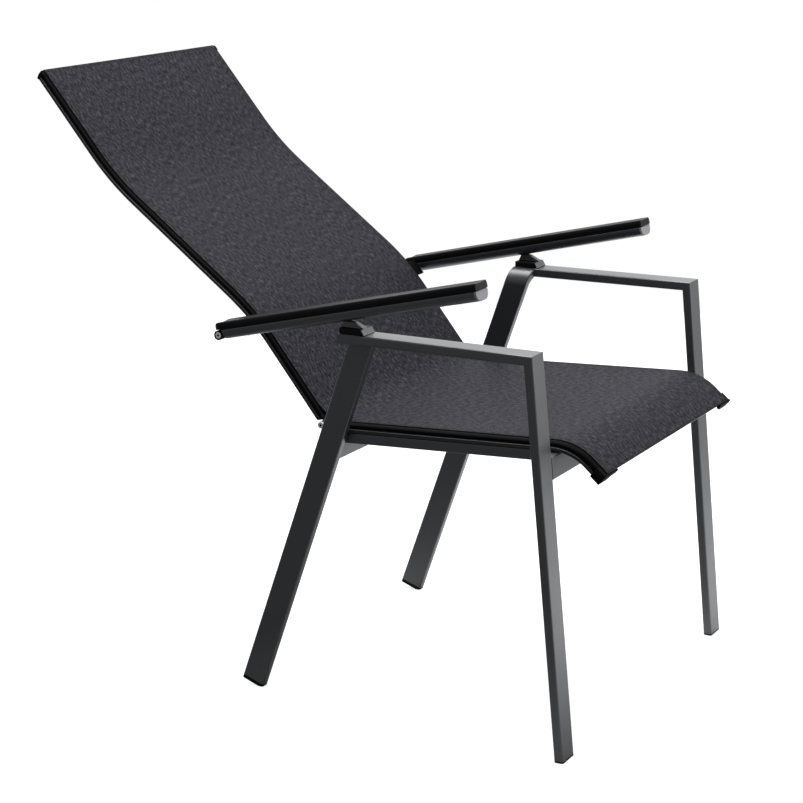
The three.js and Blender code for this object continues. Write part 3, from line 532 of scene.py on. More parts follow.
def curve_through(points):
    """A smooth line through points."""
    ends = [points[0], *points, points[-1]]
    line = []
    for before, start, stop, after in zip(ends, ends[1:], ends[2:], ends[3:]):
        for step in range(curve_steps):
            t = step / curve_steps
            line.append(tuple(
                0.5 * (2 * b + (c - a) * t + (2 * a - 5 * b + 4 * c - d) * t**2
                       + (3 * b - a - 3 * c + d) * t**3)
                for a, b, c, d in zip(before, start, stop, after)))
    return [*line, points[-1]]


def ring(outline, origin, across, up):
    """Places an outline on two axes. The origin's y is measured from the legs' top."""
    base = Vector(origin) + Vector((0, origin_y, 0))
    return [base + Vector(across) * u + Vector(up) * v for u, v in outline]


# Frame tubes.
def front_face_y(z):
    return (z - bar_height) * front_lean


def rear_leg_middle_y(z):
    return rear_leg_top_front + (bar_middle - z) * rear_lean + rear_leg_depth / 2


def leg_and_bar(sign):
    """A front leg and the side bar, welded at a mitre."""
    outline = rounded_box(tube_face, tube_thickness, tube_corner)
    x = sign * (half_width - tube_face / 2)
    across = (sign, 0, 0)
    foot = (x, front_face_y(front_glide_height) + leg_depth / 2, front_glide_height)
    run = front_face_y(bar_height - tube_thickness) + leg_depth
    rear_x = x - sign * toe_slope * rear_leg_top_front
    return [
        ring(outline, foot, across, (0, leg_depth / tube_thickness, 0)),
        ring(outline, (x, run / 2, bar_middle), across, (0, run / tube_thickness, -1)),
        ring(outline, (rear_x, rear_leg_top_front, bar_middle), across, (0, 0, -1)),
    ]


def rear_foot_ring(sign):
    """A rear leg's section above its stopper, square to the leg."""
    slant = math.hypot(1, rear_lean)
    across = (0, 1 / slant, rear_lean / slant)
    z = (tube_face / 2 * rear_lean + rear_glide_height) / slant - rear_foot_sink
    place = (sign * (rear_leg_inner + tube_thickness / 2), rear_leg_middle_y(z), z)
    outline = rounded_box(tube_face, tube_thickness, tube_corner)
    return ring(outline, place, across, (-sign, 0, 0))


def rear_leg(sign):
    """A rear leg with the bend at its top."""
    outline = rounded_box(rear_leg_depth, tube_thickness, tube_corner)
    centre_x = rear_leg_inner + tube_thickness + bend_radius
    centre_z = bar_height - tube_thickness - bend_radius
    reach = bend_radius + tube_thickness / 2
    rings = [rear_foot_ring(sign)]
    for angle in even_stops(0, math.pi / 2, bend_steps):
        z = centre_z + reach * math.sin(angle)
        place = (sign * (centre_x - reach * math.cos(angle)), rear_leg_middle_y(z), z)
        up = (-sign * math.cos(angle), 0, math.sin(angle))
        rings.append(ring(outline, place, (0, 1, 0), up))
    end = (sign * (rear_end_x - end_cap_thickness), rear_leg_middle_y(bar_middle), bar_middle)
    return [*rings, ring(outline, end, (0, 1, 0), (0, 0, 1))]


# Sling rails.
def rail_outline(profile, slotted=True):
    """A rail's profile and the look of each of its edges: 0 coated, 1 black."""
    height, reach, lip_reach = profile["height"], profile["shoulder"], profile["lip"]
    ledge = -height + rail_lip_height
    mouth = math.degrees(math.acos(slot_width / 2 / keder_bore))
    bore = arc_points(slot_width / 2, -keder_depth, keder_bore,
                      180 - mouth, 360 + mouth, bore_steps)
    width = reach - slot_width
    drop = (shoulder_top - ledge) * shoulder_drop_share
    base = shoulder_top - drop
    shoulder = [(slot_width + width * u, base + drop * v)
                for u, v in arc_points(0, 0, 1, 90, 0, shoulder_steps)]
    step = rail_step_corner
    black = [(0, rail_top), *(bore if slotted else []), *shoulder, (reach, ledge + step)]
    corner, inner_side = rail_corner, -rail_inner_width + rail_corner
    lip = [
        *arc_points(lip_reach - step, ledge - step, step, 90, 0),
        *arc_points(lip_reach - corner, -height + corner, corner, 0, -90),
        *arc_points(inner_side, -height + corner, corner, 270, 180),
        *arc_points(inner_side, rail_top - corner, corner, 180, 90),
    ]
    return [*black, *lip], [1] * len(black) + [0] * len(lip)


def rail(name, line, profile, begin, end, sign):
    outline, looks = rail_outline(profile)
    rings = []
    for stop in line.stops(begin, end, rail_arc_step):
        y, z, _, up = line.at(stop)
        rings.append(ring(outline, (sign * crest_half_width, y, z), (sign, 0, 0), (0, *up)))
    mesh = shell(name, rings, looks)
    shade(mesh, sharp_angle)
    return new_piece(name, mesh, [rail_coat, rail_black])


def rail_plug(sign):
    """Rings of the plug in a back rail's lower end.

    Its end face lies above the hinge and rises a little towards the front.
    """
    outline, _ = rail_outline(back_profile, slotted=False)
    y, z, heading, up = back_line.at(back_rail_clear)
    along = Vector((0, math.cos(heading), math.sin(heading)))
    far = ring(outline, (sign * crest_half_width, y, z), (sign, 0, 0), (0, *up))
    near = []
    for place in far:
        gap = place.z - hinge.z - plug_above_hinge + plug_rise * (place.y - hinge.y)
        near.append(place - along * (gap / (along.z + plug_rise * along.y)))
    return [near, far]


# Armrests.
pivot = middle("arm_pivot_bolt_right")
latch = middle("latch_pin_right")
arm_floor = -arm_below_pivot
latch_ahead, latch_above = pivot.y - latch.y, latch.z - pivot.z
latch_span = math.hypot(latch_ahead, latch_above)
latch_rest = math.asin((arm_floor + latch_rise) / latch_span)
arm_tilt = math.atan2(latch_above, latch_ahead) - latch_rest


def arm_ring(outline, y, sign):
    """An armrest's outline at a place along it."""
    turn = Matrix.Rotation(-arm_tilt, 3, "X")
    base = Vector((sign * (half_width - arm_width / 2), pivot.y, pivot.z))
    return [base + turn @ Vector((sign * u, y, v)) for u, v in outline]


def mirrored(side):
    return [*side, *[(-u, v) for u, v in reversed(side)]]


def hull_side():
    half = arm_width / 2
    shares = curve_through(hull_shares)
    return [(half * u, arm_floor + arm_rail_height * v) for u, v in shares]


def arm_rail_outline():
    """The hull with its open channel below."""
    half = channel_width / 2
    roof = arm_floor + channel_depth
    outer = hull_side()
    bends = [(u, v) for u, v in outer if u > half + 2 * arm_wall]
    inner = [(u - arm_wall, max(v, arm_floor + arm_wall)) for u, v in bends]
    top = arm_floor + arm_rail_height
    soft = hull_top_corner
    side = [
        (half, arm_floor),
        *[(u, v) for u, v in outer if v < top - soft],
        *arc_points(outer[-1][0] - soft, top - soft, soft, 0, 90),
        *reversed(inner),
        (half + arm_wall, arm_floor + arm_wall),
        (half + arm_wall, roof + arm_wall),
    ]
    return [*mirrored(side), (-half, roof), (half, roof)]


def pad_outline(inset, drop):
    """The pad's section. Its top is a shallow dish."""
    half = arm_width / 2
    low = arm_floor + arm_rail_height + arm_groove_height
    height = arm_height - arm_rail_height - arm_groove_height - drop
    web = half - 2 * arm_wall
    side = [
        (web - inset, arm_floor + channel_depth + arm_wall + cap_gap),
        (web - inset, low),
        *[(half * u - inset, low + height * v) for u, v in curve_through(pad_shares)],
        (half * pad_dish_share - inset, low + height - pad_dish_edge),
    ]
    return [*side, (0, low + height - arm_groove_height), *mirrored(side)[len(side):]]


def armrest_pad(sign):
    return [arm_ring(pad_outline(inset, drop), y, sign) for y, inset, drop in pad_stations]


def armrest_shield(sign):
    rings = []
    for y, inset in shield_stations:
        share, low = 1 - inset / (arm_width / 2), arm_floor + inset
        outline = mirrored([(u * share, max(v, low)) for u, v in hull_side()])
        rings.append(arm_ring(outline, y, sign))
    return rings


# Sling.
def sling_sag(distance, x):
    """How far the cloth hangs below the crest, by the distance from the front edge."""
    first = front_spreader_inset - front_cap_lip
    corner = sling_line.length - back_line.length + sling_top_gap + lower_spreader_place
    last = sling_line.length - front_spreader_inset
    if distance < corner:
        share = (distance - first) / (corner - first)
        deep = seat_sag
    else:
        share = (distance - corner) / (last - corner)
        deep = back_sag
    share = min(max(share, 0), 1)
    sag = end_sag + deep * math.sin(math.pi * share) ** 2
    return sag * max(0, 1 - (x / crest_half_width) ** 2)


# Half of the sling's width: place across and height, from the middle to the slot.
flat_half_width = crest_half_width + sling_edge[0][0]
sling_half = [
    *[(flat_half_width * step / sling_columns, 0.0) for step in range(sling_columns)],
    *[(crest_half_width + u, v) for u, v in sling_edge],
]


def on_sling(distance, points):
    """Points of a cross-section, given by place across and height, in the chair's frame."""
    y, z, _, up = sling_line.at(distance)
    return [Vector((x, origin_y + y + v * up[0], z + v * up[1])) for x, v in points]


def sling_row(distance, depth):
    points = []
    for index, (x, height) in enumerate(sling_half):
        before = sling_half[max(index - 1, 0)]
        after = sling_half[min(index + 1, len(sling_half) - 1)]
        way = Vector((after[0] - before[0], after[1] - before[1])).normalized()
        points.append((x + depth * way.y, height - sling_sag(distance, x) - depth * way.x))
    return on_sling(distance, [(-x, v) for x, v in reversed(points[1:])] + points)


def join_rows(body, near, far):
    for index in range(len(near) - 1):
        body.faces.new((near[index], near[index + 1], far[index + 1], far[index]))


def cloth_sheet(name, stops, depths, skip=0):
    """A closed sheet between two depths of the cloth, with cloth coordinates in metres.

    skip leaves out that many columns at each side.
    """
    body = bmesh.new()
    cloth = body.loops.layers.uv.new("cloth")
    places = {}
    skins = []
    for depth in depths:
        skin = []
        for stop in stops:
            points = sling_row(stop, depth)
            points = points[skip:len(points) - skip]
            row = [body.verts.new(point) for point in points]
            across = 0.0
            for index, vertex in enumerate(row):
                if index:
                    across += (points[index] - points[index - 1]).length
                places[vertex] = (across, stop)
            skin.append(row)
        skins.append(skin)
    for skin in skins:
        for near, far in zip(skin, skin[1:]):
            join_rows(body, near, far)
    outer, inner = skins
    for end in (0, -1):
        join_rows(body, outer[end], inner[end])
    for end in (0, -1):
        join_rows(body, [row[end] for row in outer], [row[end] for row in inner])
    for face in body.faces:
        for loop in face.loops:
            loop[cloth].uv = places[loop.vert]
    return to_mesh(name, body)


def hem(name, begin, end, body):
    """A folded strip under an end of the sling."""
    depths = (sling_thickness, sling_thickness + hem_thickness)
    mesh = cloth_sheet(name, even_stops(begin, end, hem_rows), depths, skip=len(sling_edge))
    return fitted(new_piece(name, mesh, [sling_cloth]), body, "sling_fabric")


# Nodes.
def node_group(name, kind, inputs, outputs):
    """An empty group. Returns its tree and the sockets of what it is given."""
    tree = bpy.data.node_groups.new(name, kind)
    for way, sockets in (("INPUT", inputs), ("OUTPUT", outputs)):
        for label, socket in sockets.items():
            tree.interface.new_socket(label, in_out=way, socket_type=f"NodeSocket{socket}")
    return tree, tree.nodes.new("NodeGroupInput").outputs


def feed(tree, node, inputs):
    """Gives values, or links from other nodes, to inputs by name or by number."""
    for label, value in inputs.items():
        if isinstance(value, bpy.types.NodeSocket):
            tree.links.new(value, node.inputs[label])
        else:
            node.inputs[label].default_value = value


def add_node(tree, kind, inputs, **settings):
    node = tree.nodes.new(kind)
    for label, value in settings.items():
        setattr(node, label, value)
    feed(tree, node, inputs)
    return node


def math_node(tree, operation, *values):
    node = add_node(tree, "ShaderNodeMath", dict(enumerate(values)), operation=operation)
    return node.outputs["Value"]


# Seams: lines on the cloth that carry stitches.
def seam_points(begin, end):
    """A straight seam. Each place is a distance along the cloth and one across it."""
    count = round(math.dist(begin, end) / seam_step)
    return list(zip(*(even_stops(low, high, count) for low, high in zip(begin, end))))


def seam_mesh(lines):
    vertices, edges = [], []
    for line in lines:
        first = len(vertices)
        for distance, x in line:
            level = thread_radius / 2 - sling_sag(distance, x)
            vertices += on_sling(distance, [(x, level)])
        edges += [(index, index + 1) for index in range(first, len(vertices) - 1)]
    mesh = bpy.data.meshes.new("seams")
    mesh.from_pydata(vertices, edges, [])
    return mesh


def stitch_tree():
    """Stitches along every line of a mesh: small threads of one pitch and length."""
    tree, given = node_group("seam_stitches", "GeometryNodeTree", {
        "Seams": "Geometry", "Pitch": "Float", "Length": "Float", "Thread Radius": "Float",
        "Thread": "Material"}, {"Stitches": "Geometry"})
    line = add_node(tree, "GeometryNodeMeshToCurve", {"Mesh": given["Seams"]})
    spots = add_node(tree, "GeometryNodeResampleCurve", mode="LENGTH", inputs={
        "Curve": line.outputs["Curve"], "Length": given["Pitch"]})
    way = tree.nodes.new("GeometryNodeInputTangent")
    turn = add_node(tree, "FunctionNodeAlignRotationToVector",
                    {"Vector": way.outputs["Tangent"]}, axis="Z")
    bead = add_node(tree, "GeometryNodeMeshUVSphere", {"Segments": 6, "Rings": 5, "Radius": 1})
    radius, half = given["Thread Radius"], math_node(tree, "MULTIPLY", given["Length"], 0.5)
    size = add_node(tree, "ShaderNodeCombineXYZ", {"X": radius, "Y": radius, "Z": half})
    place = add_node(tree, "GeometryNodeInstanceOnPoints", {
        "Points": spots.outputs["Curve"], "Instance": bead.outputs["Mesh"],
        "Rotation": turn.outputs["Rotation"], "Scale": size.outputs["Vector"]})
    real = add_node(tree, "GeometryNodeRealizeInstances",
                    {"Geometry": place.outputs["Instances"]})
    paint = add_node(tree, "GeometryNodeSetMaterial", {
        "Geometry": real.outputs["Geometry"], "Material": given["Thread"]})
    add_node(tree, "NodeGroupOutput", {"Stitches": paint.outputs["Geometry"]})
    return tree


def stitched(name, lines):
    piece = new_piece(name, seam_mesh(lines), [])
    sewing = piece.modifiers.new("sewing", "NODES")
    sewing.node_group = stitches
    values = {"Pitch": stitch_pitch, "Length": stitch_length,
              "Thread Radius": thread_radius, "Thread": thread}
    for socket in stitches.interface.items_tree:
        if socket.in_out == "INPUT" and socket.name in values:
            sewing[socket.identifier] = values[socket.name]
    return settled(piece, [thread])


# Finishes.
def shader_group(name, inputs):
    outputs = {"Colour": "Color", "Roughness": "Float", "Height": "Float"}
    return node_group(name, "ShaderNodeTree", inputs, outputs)


def mix_colours(tree, share, first, second):
    node = add_node(tree, "ShaderNodeMix", {}, data_type="RGBA")
    number = {socket.identifier: index for index, socket in enumerate(node.inputs)}
    feed(tree, node, {number["Factor_Float"]: share, number["A_Color"]: first,
                      number["B_Color"]: second})
    return next(socket for socket in node.outputs if socket.identifier == "Result_Color")


def span(tree, value, low, high, to_low=0.0, to_high=1.0):
    """Maps a value from one range to another and keeps it there."""
    node = add_node(tree, "ShaderNodeMapRange", {
        "Value": value, "From Min": low, "From Max": high, "To Min": to_low,
        "To Max": to_high})
    return node.outputs["Result"]


def noise(tree, vector, scale, detail=2.0, roughness=0.5):
    node = add_node(tree, "ShaderNodeTexNoise", {
        "Vector": vector, "Scale": scale, "Detail": detail, "Roughness": roughness})
    return node.outputs["Fac"]


def grain_group():
    """Fine grain of a powder coat or of moulded plastic."""
    tree, given = shader_group("surface_grain", {
        "Place": "Vector", "Colour": "Color", "Speck Colour": "Color", "Speck Share": "Float",
        "Grain Scale": "Float", "Roughness": "Float", "Roughness Spread": "Float"})
    place, scale = given["Place"], given["Grain Scale"]
    fine = noise(tree, place, scale, grain_detail)
    cells = add_node(tree, "ShaderNodeTexVoronoi", {"Vector": place, "Scale": scale})
    cloud = math_node(tree, "SUBTRACT", noise(tree, place, cloud_scale), 0.5)
    speck = math_node(tree, "MULTIPLY", span(tree, fine, *speck_span), given["Speck Share"])
    spread = math_node(tree, "MULTIPLY", cloud, given["Roughness Spread"])
    add_node(tree, "NodeGroupOutput", {
        "Colour": mix_colours(tree, speck, given["Colour"], given["Speck Colour"]),
        "Roughness": math_node(tree, "ADD", given["Roughness"], spread),
        "Height": math_node(tree, "ADD", fine, cells.outputs["Distance"])})
    return tree


def weave_group():
    """Woven sling cloth: coated yarns of mixed greys, over and under each other, with painted
    shade where they dip.
    """
    tree, given = shader_group("yarn_weave", {
        "Cloth": "Vector", "Yarn Pitch": "Float", "Dark Yarn": "Color", "Light Yarn": "Color"})

    def do(operation, *values):
        return math_node(tree, operation, *values)

    def swell(value):
        return do("ABSOLUTE", do("SINE", do("MULTIPLY", value, math.pi)))

    def chance(index, other, seed):
        """A tone for a length of one yarn."""
        piece = do("FLOOR", do("MULTIPLY", other, yarn_run_share))
        pair = add_node(tree, "ShaderNodeCombineXYZ", {"X": index, "Y": piece, "Z": seed})
        white = add_node(tree, "ShaderNodeTexWhiteNoise", {"Vector": pair.outputs["Vector"]})
        return white.outputs["Value"]

    def in_turn(warp, weft):
        """The value of the yarn that lies on top."""
        under = do("SUBTRACT", 1.0, parity)
        return do("ADD", do("MULTIPLY", warp, parity), do("MULTIPLY", weft, under))

    split = add_node(tree, "ShaderNodeSeparateXYZ", {"Vector": given["Cloth"]})
    across = do("DIVIDE", split.outputs["X"], given["Yarn Pitch"])
    along = do("DIVIDE", split.outputs["Y"], given["Yarn Pitch"])
    column, row = do("FLOOR", across), do("FLOOR", along)
    parity = do("PINGPONG", do("ADD", column, row), 1.0)
    height = in_turn(swell(across), swell(along))
    tone = in_turn(chance(column, along, warp_seed), chance(row, across, weft_seed))
    drawn = add_node(tree, "ShaderNodeVectorMath", {0: given["Cloth"], 1: mottle_stretch},
                     operation="MULTIPLY")
    cloud = noise(tree, drawn.outputs["Vector"], mottle_scale, mottle_detail, mottle_roughness)
    mixed = do("ADD", do("MULTIPLY", tone, yarn_weight),
               do("MULTIPLY", span(tree, cloud, *mottle_span), mottle_weight))
    # The yarns' low places are darkened: painted shade.
    share = do("MULTIPLY", do("POWER", mixed, shade_power), span(tree, height, *valley_shade_span))
    add_node(tree, "NodeGroupOutput", {
        "Colour": mix_colours(tree, share, given["Dark Yarn"], given["Light Yarn"]),
        "Roughness": span(tree, tone, *yarn_roughness_span),
        "Height": height})
    return tree


def finish(name, group, place, values, bump, bump_distance, **settings):
    """A material whose colour, roughness and bump come from a group at a place."""
    material = bpy.data.materials.new(name)
    material.use_nodes = True
    tree = material.node_tree
    detail = add_node(tree, "ShaderNodeGroup", {0: place(tree), **values}, node_tree=group)
    raised = add_node(tree, "ShaderNodeBump", {
        "Strength": bump, "Distance": bump_distance, "Height": detail.outputs["Height"]})
    inputs = {label.replace("_", " "): value for label, value in settings.items()}
    inputs["Base Color"] = detail.outputs["Colour"]
    inputs["Roughness"] = detail.outputs["Roughness"]
    inputs["Normal"] = raised.outputs["Normal"]
    feed(tree, tree.nodes["Principled BSDF"], inputs)
    return material


def on_object(tree):
    return tree.nodes.new("ShaderNodeTexCoord").outputs["Object"]


def on_cloth(tree):
    return add_node(tree, "ShaderNodeUVMap", {}, uv_map="cloth").outputs["UV"]


def grey(level, blue=1.08, green=1.0):
    return level, level * green, level * blue, 1


def grained(name, colour, speck, speck_share, scale, roughness, bump, depth, **settings):
    """A grained finish. Its roughness is a value and its spread."""
    values = {"Colour": colour, "Speck Colour": speck, "Speck Share": speck_share,
              "Grain Scale": scale, "Roughness": roughness[0],
              "Roughness Spread": roughness[1]}
    return finish(name, grain, on_object, values, bump, depth, **settings)


grain = grain_group()
coated = grained("anthracite_coat", grey(0.026), grey(0.055), 0.5, 1500, (0.36, 0.08),
                 0.12, 0.05 * mm, IOR=2.1, Specular_Tint=(0.92, 0.96, 1.0, 1))
rail_coat = grained("dark_rail_coat", grey(0.014), grey(0.03), 0.5, 1500, (0.42, 0.08),
                    0.12, 0.05 * mm, IOR=1.6)
rail_black = grained("rail_shoulder_black", grey(0.004), grey(0.012), 0.4, 1500, (0.62, 0.08),
                     0.12, 0.05 * mm, Specular_IOR_Level=0.03)
black_plastic = grained("black_moulded_plastic", grey(0.006), grey(0.016), 0.4, 900,
                        (0.5, 0.12), 0.2, 0.06 * mm, Specular_IOR_Level=0.12)
grey_plastic = grained("grey_moulded_plastic", grey(0.3), grey(0.36), 0.4, 900, (0.45, 0.1),
                       0.15, 0.05 * mm, Specular_IOR_Level=0.4)
stainless = grained("brushed_stainless_steel", grey(0.5, 1.02), grey(0.62, 1.02), 0.5, 2600,
                    (0.42, 0.12), 0.1, 0.03 * mm, Metallic=0.9)
# Painted highlight: bolt heads in a near-white colour with little metal, so they read as lit.
painted_highlight_steel = grained("bolt_head_painted_highlight", grey(0.97, 1.01), grey(0.99, 1.01), 0.5,
                       2600, (0.45, 0.12), 0.1, 0.03 * mm, Metallic=0.1)
thread = grained("dark_sewing_thread", grey(0.018), grey(0.04), 0.5, 4000, (0.7, 0.1),
                 0.2, 0.05 * mm, Specular_IOR_Level=0.05)
sling_cloth = finish(
    "woven_sling_cloth", weave_group(), on_cloth,
    {"Yarn Pitch": yarn_pitch, "Dark Yarn": grey(0.004, 1.25, 0.96),
     "Light Yarn": grey(0.0895, 1.25, 0.96)},
    0.5, 0.25 * mm, Specular_IOR_Level=0.08,
)
finish_of_slot = {
    "coated_aluminium": coated,
    "rail_aluminium": rail_coat,
    "black_plastic": black_plastic,
    "grey_plastic": grey_plastic,
    "stainless_steel": stainless,
}
# The stoppers in the bars' rear ends have the frame's own colour. The rails' caps and the
# arms' pivot blocks are as black as the rails' shoulders. Bolt heads are painted near white, a
# painted highlight.
own_finish = {
    "bar_end_cap": coated,
    "seat_front_cap": rail_black,
    "back_top_cap": rail_black,
    "arm_pivot_block": rail_black,
    "hinge_bolt": painted_highlight_steel,
    "arm_pivot_bolt": painted_highlight_steel,
}


# The chair's pieces.
def fitted(piece, body, slot, *nodes):
    """A piece rides on a body and stands for its CAD nodes, if it has any. The slot is not
    used.
    """
    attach(piece, body)
    if nodes:
        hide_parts(*nodes)
    return piece


def add_shell(name, rings, body, slot, *nodes):
    """A piece made of rings, in its slot's own finish."""
    mesh = shell(name, rings)
    shade(mesh)
    fitted(new_piece(name, mesh, [finish_of_slot[slot]]), body, slot, *nodes)


def paint_support(piece):
    """Coats an arm support's ramp and all that stands above its black block."""
    piece.data.materials.append(coated)
    for polygon in piece.data.polygons:
        above = polygon.center.z > bar_height + support_block_height + coat_above_block
        if above or polygon.normal.y < front_facing:
            polygon.material_index = 1


def paint_socket_shade(piece, axis):
    """Paints shade into the socket in the middle of a bolt's head, in the black plastic
    finish.
    """
    piece.data.materials.append(black_plastic)
    for polygon in piece.data.polygons:
        corners = [piece.data.vertices[index].co - axis for index in polygon.vertices]
        away = max(math.hypot(corner.y, corner.z) for corner in corners)
        if away < socket_reach and abs(polygon.center.x) > abs(axis.x):
            polygon.material_index = 1


# Each row: node, body, slot, the ending of the piece's name and the edges' softness.
dressed_nodes = (
    ("bar_end_cap", "frame", "black_plastic", "moulding", 0.8 * mm),
    ("front_glide", "frame", "black_plastic", "moulding", 0.8 * mm),
    ("rear_glide", "frame", "black_plastic", "moulding", 0.8 * mm),
    ("seat_front_cap", "frame", "black_plastic", "moulding", 0.8 * mm),
    ("latch_pin", "frame", "stainless_steel", "turning", 0.4 * mm),
    ("seat_stretcher", "frame", "coated_aluminium", "tube", tube_softness),
    ("seat_hinge_lug", "frame", "stainless_steel", "plate", 0.4 * mm),
    ("hinge_bolt", "frame", "stainless_steel", "turning", 0.3 * mm),
    ("hinge_nut", "frame", "stainless_steel", "turning", 0.4 * mm),
    ("back_top_cap", "back", "black_plastic", "moulding", 0.6 * mm),
    ("back_hinge_lug", "back", "stainless_steel", "plate", 0.4 * mm),
    ("arm_pivot_bolt", "back", "stainless_steel", "turning", 0.3 * mm),
    ("arm_rack", "arm", "black_plastic", "moulding", 0.3 * mm),
    ("arm_pivot_block", "arm", "black_plastic", "moulding", 0.6 * mm),
)
# Tubes from side to side: node, body and slot.
single_nodes = (
    ("front_cross_tube", "frame", "coated_aluminium"),
    ("rear_cross_tube", "frame", "coated_aluminium"),
    ("seat_front_spreader", "frame", "rail_aluminium"),
    ("back_top_spreader", "back", "rail_aluminium"),
    ("back_lower_spreader", "back", "rail_aluminium"),
)

# The rails: name, body, line, profile, clear length at the hinge and length of the cap.
rails = (
    ("seat_rail", "frame", seat_line, seat_profile, seat_rail_clear, front_cap_length),
    ("back_rail", "back", back_line, back_profile, back_rail_clear, top_cap_length),
)

for side, sign in sides:
    arm = f"arm_{side}"
    for stem, body, slot, ending, softness in dressed_nodes:
        node = f"{stem}_{side}"
        look = own_finish.get(stem, finish_of_slot[slot])
        piece = dressed(node, ending, look, softness)
        fitted(piece, arm if body == "arm" else body, slot, node)
        if look == painted_highlight_steel:
            paint_socket_shade(piece, middle(node))

    add_shell(f"leg_and_bar_{side}", leg_and_bar(sign), "frame", "coated_aluminium",
              f"front_leg_{side}", f"side_bar_{side}")
    add_shell(f"rear_leg_{side}_tube", rear_leg(sign), "frame", "coated_aluminium",
              f"rear_leg_{side}")
    support = cast(f"arm_support_{side}", black_plastic)
    paint_support(support)
    fitted(support, "frame", "black_plastic", f"arm_support_{side}")
    bracket = cast(f"arm_bracket_{side}", rail_black)
    fitted(bracket, "back", "black_plastic", f"arm_bracket_{side}")

    for stem, body, line, profile, clear, cap in rails:
        piece = rail(f"{stem}_{side}_extrusion", line, profile, clear, line.length - cap, sign)
        fitted(piece, body, "rail_aluminium", f"{stem}_{side}")
    add_shell(f"back_rail_{side}_end_plug", rail_plug(sign), "back", "black_plastic")

    ends = (-arm_reach + shield_thickness + cap_gap, -pivot_block_gap)
    add_shell(f"arm_rail_{side}_extrusion",
              [arm_ring(arm_rail_outline(), y, sign) for y in ends],
              arm, "coated_aluminium", f"arm_rail_{side}")
    add_shell(f"arm_pad_{side}_moulding", armrest_pad(sign), arm, "black_plastic",
              f"arm_pad_{side}")
    add_shell(f"arm_front_cap_{side}_shield", armrest_shield(sign), arm, "grey_plastic",
              f"arm_front_cap_{side}")

    for keder in (f"seat_keder_{side}", f"back_keder_{side}"):
        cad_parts[keder].material_slots[0].material = black_plastic

for node, body, slot in single_nodes:
    fitted(dressed(node, "tube", finish_of_slot[slot], tube_softness), body, slot, node)

# The sling bends where the seat meets the back.
sling_length = sling_line.length
mesh = cloth_sheet("sling_cloth", even_stops(0.0, sling_length, sling_rows),
                   (0.0, sling_thickness))
sling = new_piece("sling", mesh, [sling_cloth, rail_black])
# The cloth's edge that turns into the rails' slots gets the black finish as painted shade.
for polygon in sling.data.polygons:
    polygon.use_smooth = True
    if abs(polygon.center.x) > crest_half_width + slot_shade_start:
        polygon.material_index = 1
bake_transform(sling)
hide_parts("seat_sling", "back_sling")

front_hem = hem("front_hem", front_hem_start, front_hem_width, "frame")
top_hem = hem("top_hem", sling_length - top_hem_width, sling_length - top_hem_end, "back")

stitches = stitch_tree()
seam_half = crest_half_width - keder_seam_inset
seams = stitched("edge_seams", [
    seam_points((edge_seam_start, sign * seam_half),
                (sling_length - top_hem_width, sign * seam_half))
    for _, sign in sides
])
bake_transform(seams)


def cross_seam(distance):
    return seam_points((distance, -seam_half), (distance, seam_half))


front_seam = stitched("front_hem_seam", [cross_seam(front_hem_width - front_seam_inset)])
fitted(front_seam, "frame", "sling_fabric")
top_seam = stitched("top_hem_seams",
                    [cross_seam(sling_length - inset) for inset in top_seam_insets])
fitted(top_seam, "back", "sling_fabric")


# Floor, world, lamps and camera.
def camera_ray(tree):
    return tree.nodes.new("ShaderNodeLightPath").outputs["Is Camera Ray"]


def towards(tree, vector, side):
    """How far a vector points, or lies, towards a side."""
    node = add_node(tree, "ShaderNodeVectorMath", {0: vector, 1: Vector(side).normalized()},
                    operation="DOT_PRODUCT")
    return node.outputs["Value"]


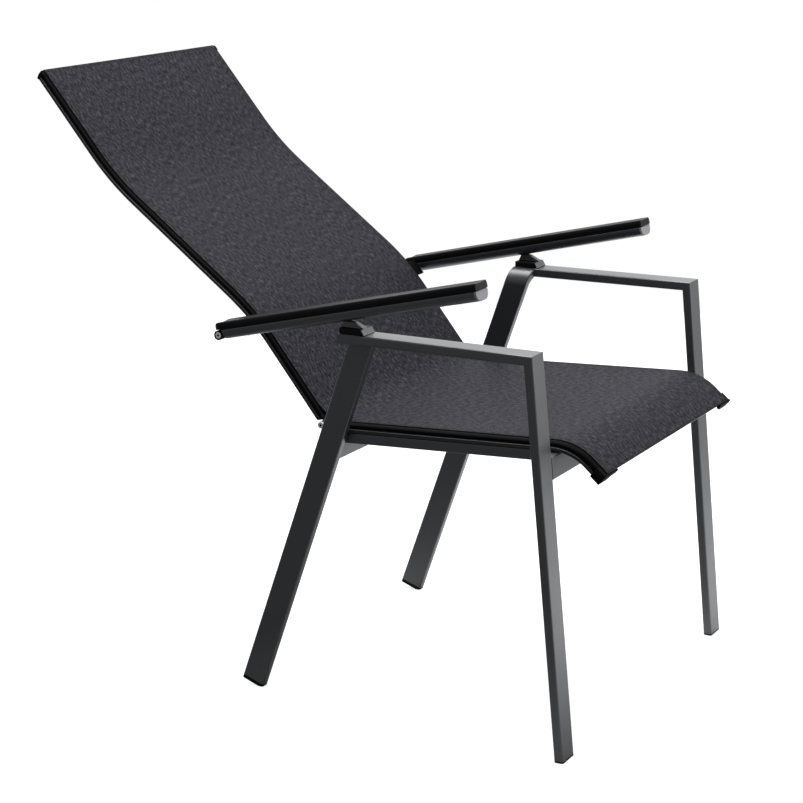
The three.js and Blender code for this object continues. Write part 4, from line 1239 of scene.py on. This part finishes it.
def make_floor():
    """White to the camera. To the chair it has a bright and a dark side."""
    body = bmesh.new()
    bmesh.ops.create_circle(body, cap_ends=True, radius=floor_radius, segments=floor_segments)
    mesh = to_mesh("studio_floor", body, outward=False)
    material = bpy.data.materials.new("pale_studio_floor")
    material.use_nodes = True
    tree = material.node_tree
    seen = camera_ray(tree)
    side = towards(tree, on_object(tree), bright_side)
    level = math_node(tree, "MULTIPLY", span(tree, side, *near_side_span),
                      span(tree, side, *far_fade_span))
    reflected = mix_colours(tree, level, grey(floor_dark, 1.0), grey(floor_bright, 1.0))
    feed(tree, tree.nodes["Principled BSDF"], {
        "Roughness": floor_roughness,
        "Specular IOR Level": floor_shine,
        "Base Color": mix_colours(tree, seen, reflected, grey(floor_white, 1.0)),
        "Emission Color": grey(1.0, 1.0),
        "Emission Strength": math_node(tree, "MULTIPLY", seen, floor_glow),
    })
    new_piece("studio_floor", mesh, [material])


def make_world():
    """White to the camera. To the chair it is a studio with a bright and a dark side."""
    world = bpy.data.worlds.new("studio")
    bpy.context.scene.world = world
    world.use_nodes = True
    tree = world.node_tree
    tree.nodes.clear()
    ray = tree.nodes.new("ShaderNodeTexCoord").outputs["Generated"]
    level = span(tree, towards(tree, ray, bright_sky), *sky_span)
    studio, white = [
        add_node(tree, "ShaderNodeBackground", {"Color": grey(1.0, 1.0), "Strength": strength})
        for strength in (level, 1.0)
    ]
    shown = add_node(tree, "ShaderNodeMixShader", {
        0: camera_ray(tree), 1: studio.outputs["Background"], 2: white.outputs["Background"]})
    add_node(tree, "ShaderNodeOutputWorld", {"Surface": shown.outputs["Shader"]})


def add_softbox(name, place, size, power):
    lamp = bpy.data.lights.new(name, "AREA")
    lamp.shape = "DISK"
    lamp.size = size
    lamp.energy = power
    softbox = bpy.data.objects.new(name, lamp)
    softbox.location = place
    aim = (Vector(lamp_target) - Vector(place)).to_track_quat("-Z", "Y")
    softbox.rotation_euler = aim.to_euler()
    collection.objects.link(softbox)


def make_camera():
    yaw, pitch, roll = [math.radians(turn) for turn in camera_turns.values()]
    forward = Vector((math.sin(yaw) * math.cos(pitch), math.cos(yaw) * math.cos(pitch),
                      -math.sin(pitch)))
    level = Vector((math.cos(yaw), -math.sin(yaw), 0))
    above = level.cross(forward)
    across = math.cos(roll) * level + math.sin(roll) * above
    up = -math.sin(roll) * level + math.cos(roll) * above
    lens = bpy.data.cameras.new("photo_camera")
    lens.sensor_width = sensor_width
    lens.lens = camera_lens
    camera = bpy.data.objects.new("photo_camera", lens)
    axes = Matrix((across, up, -forward)).transposed().to_4x4()
    place = camera_place + Vector((0, origin_y, 0))
    camera.matrix_world = Matrix.Translation(place) @ axes
    collection.objects.link(camera)
    bpy.context.scene.camera = camera


make_floor()
make_world()
for name, (place, size, power) in softboxes.items():
    add_softbox(name, place, size, power)
make_camera()
bpy.context.scene.view_settings.view_transform = "Standard"
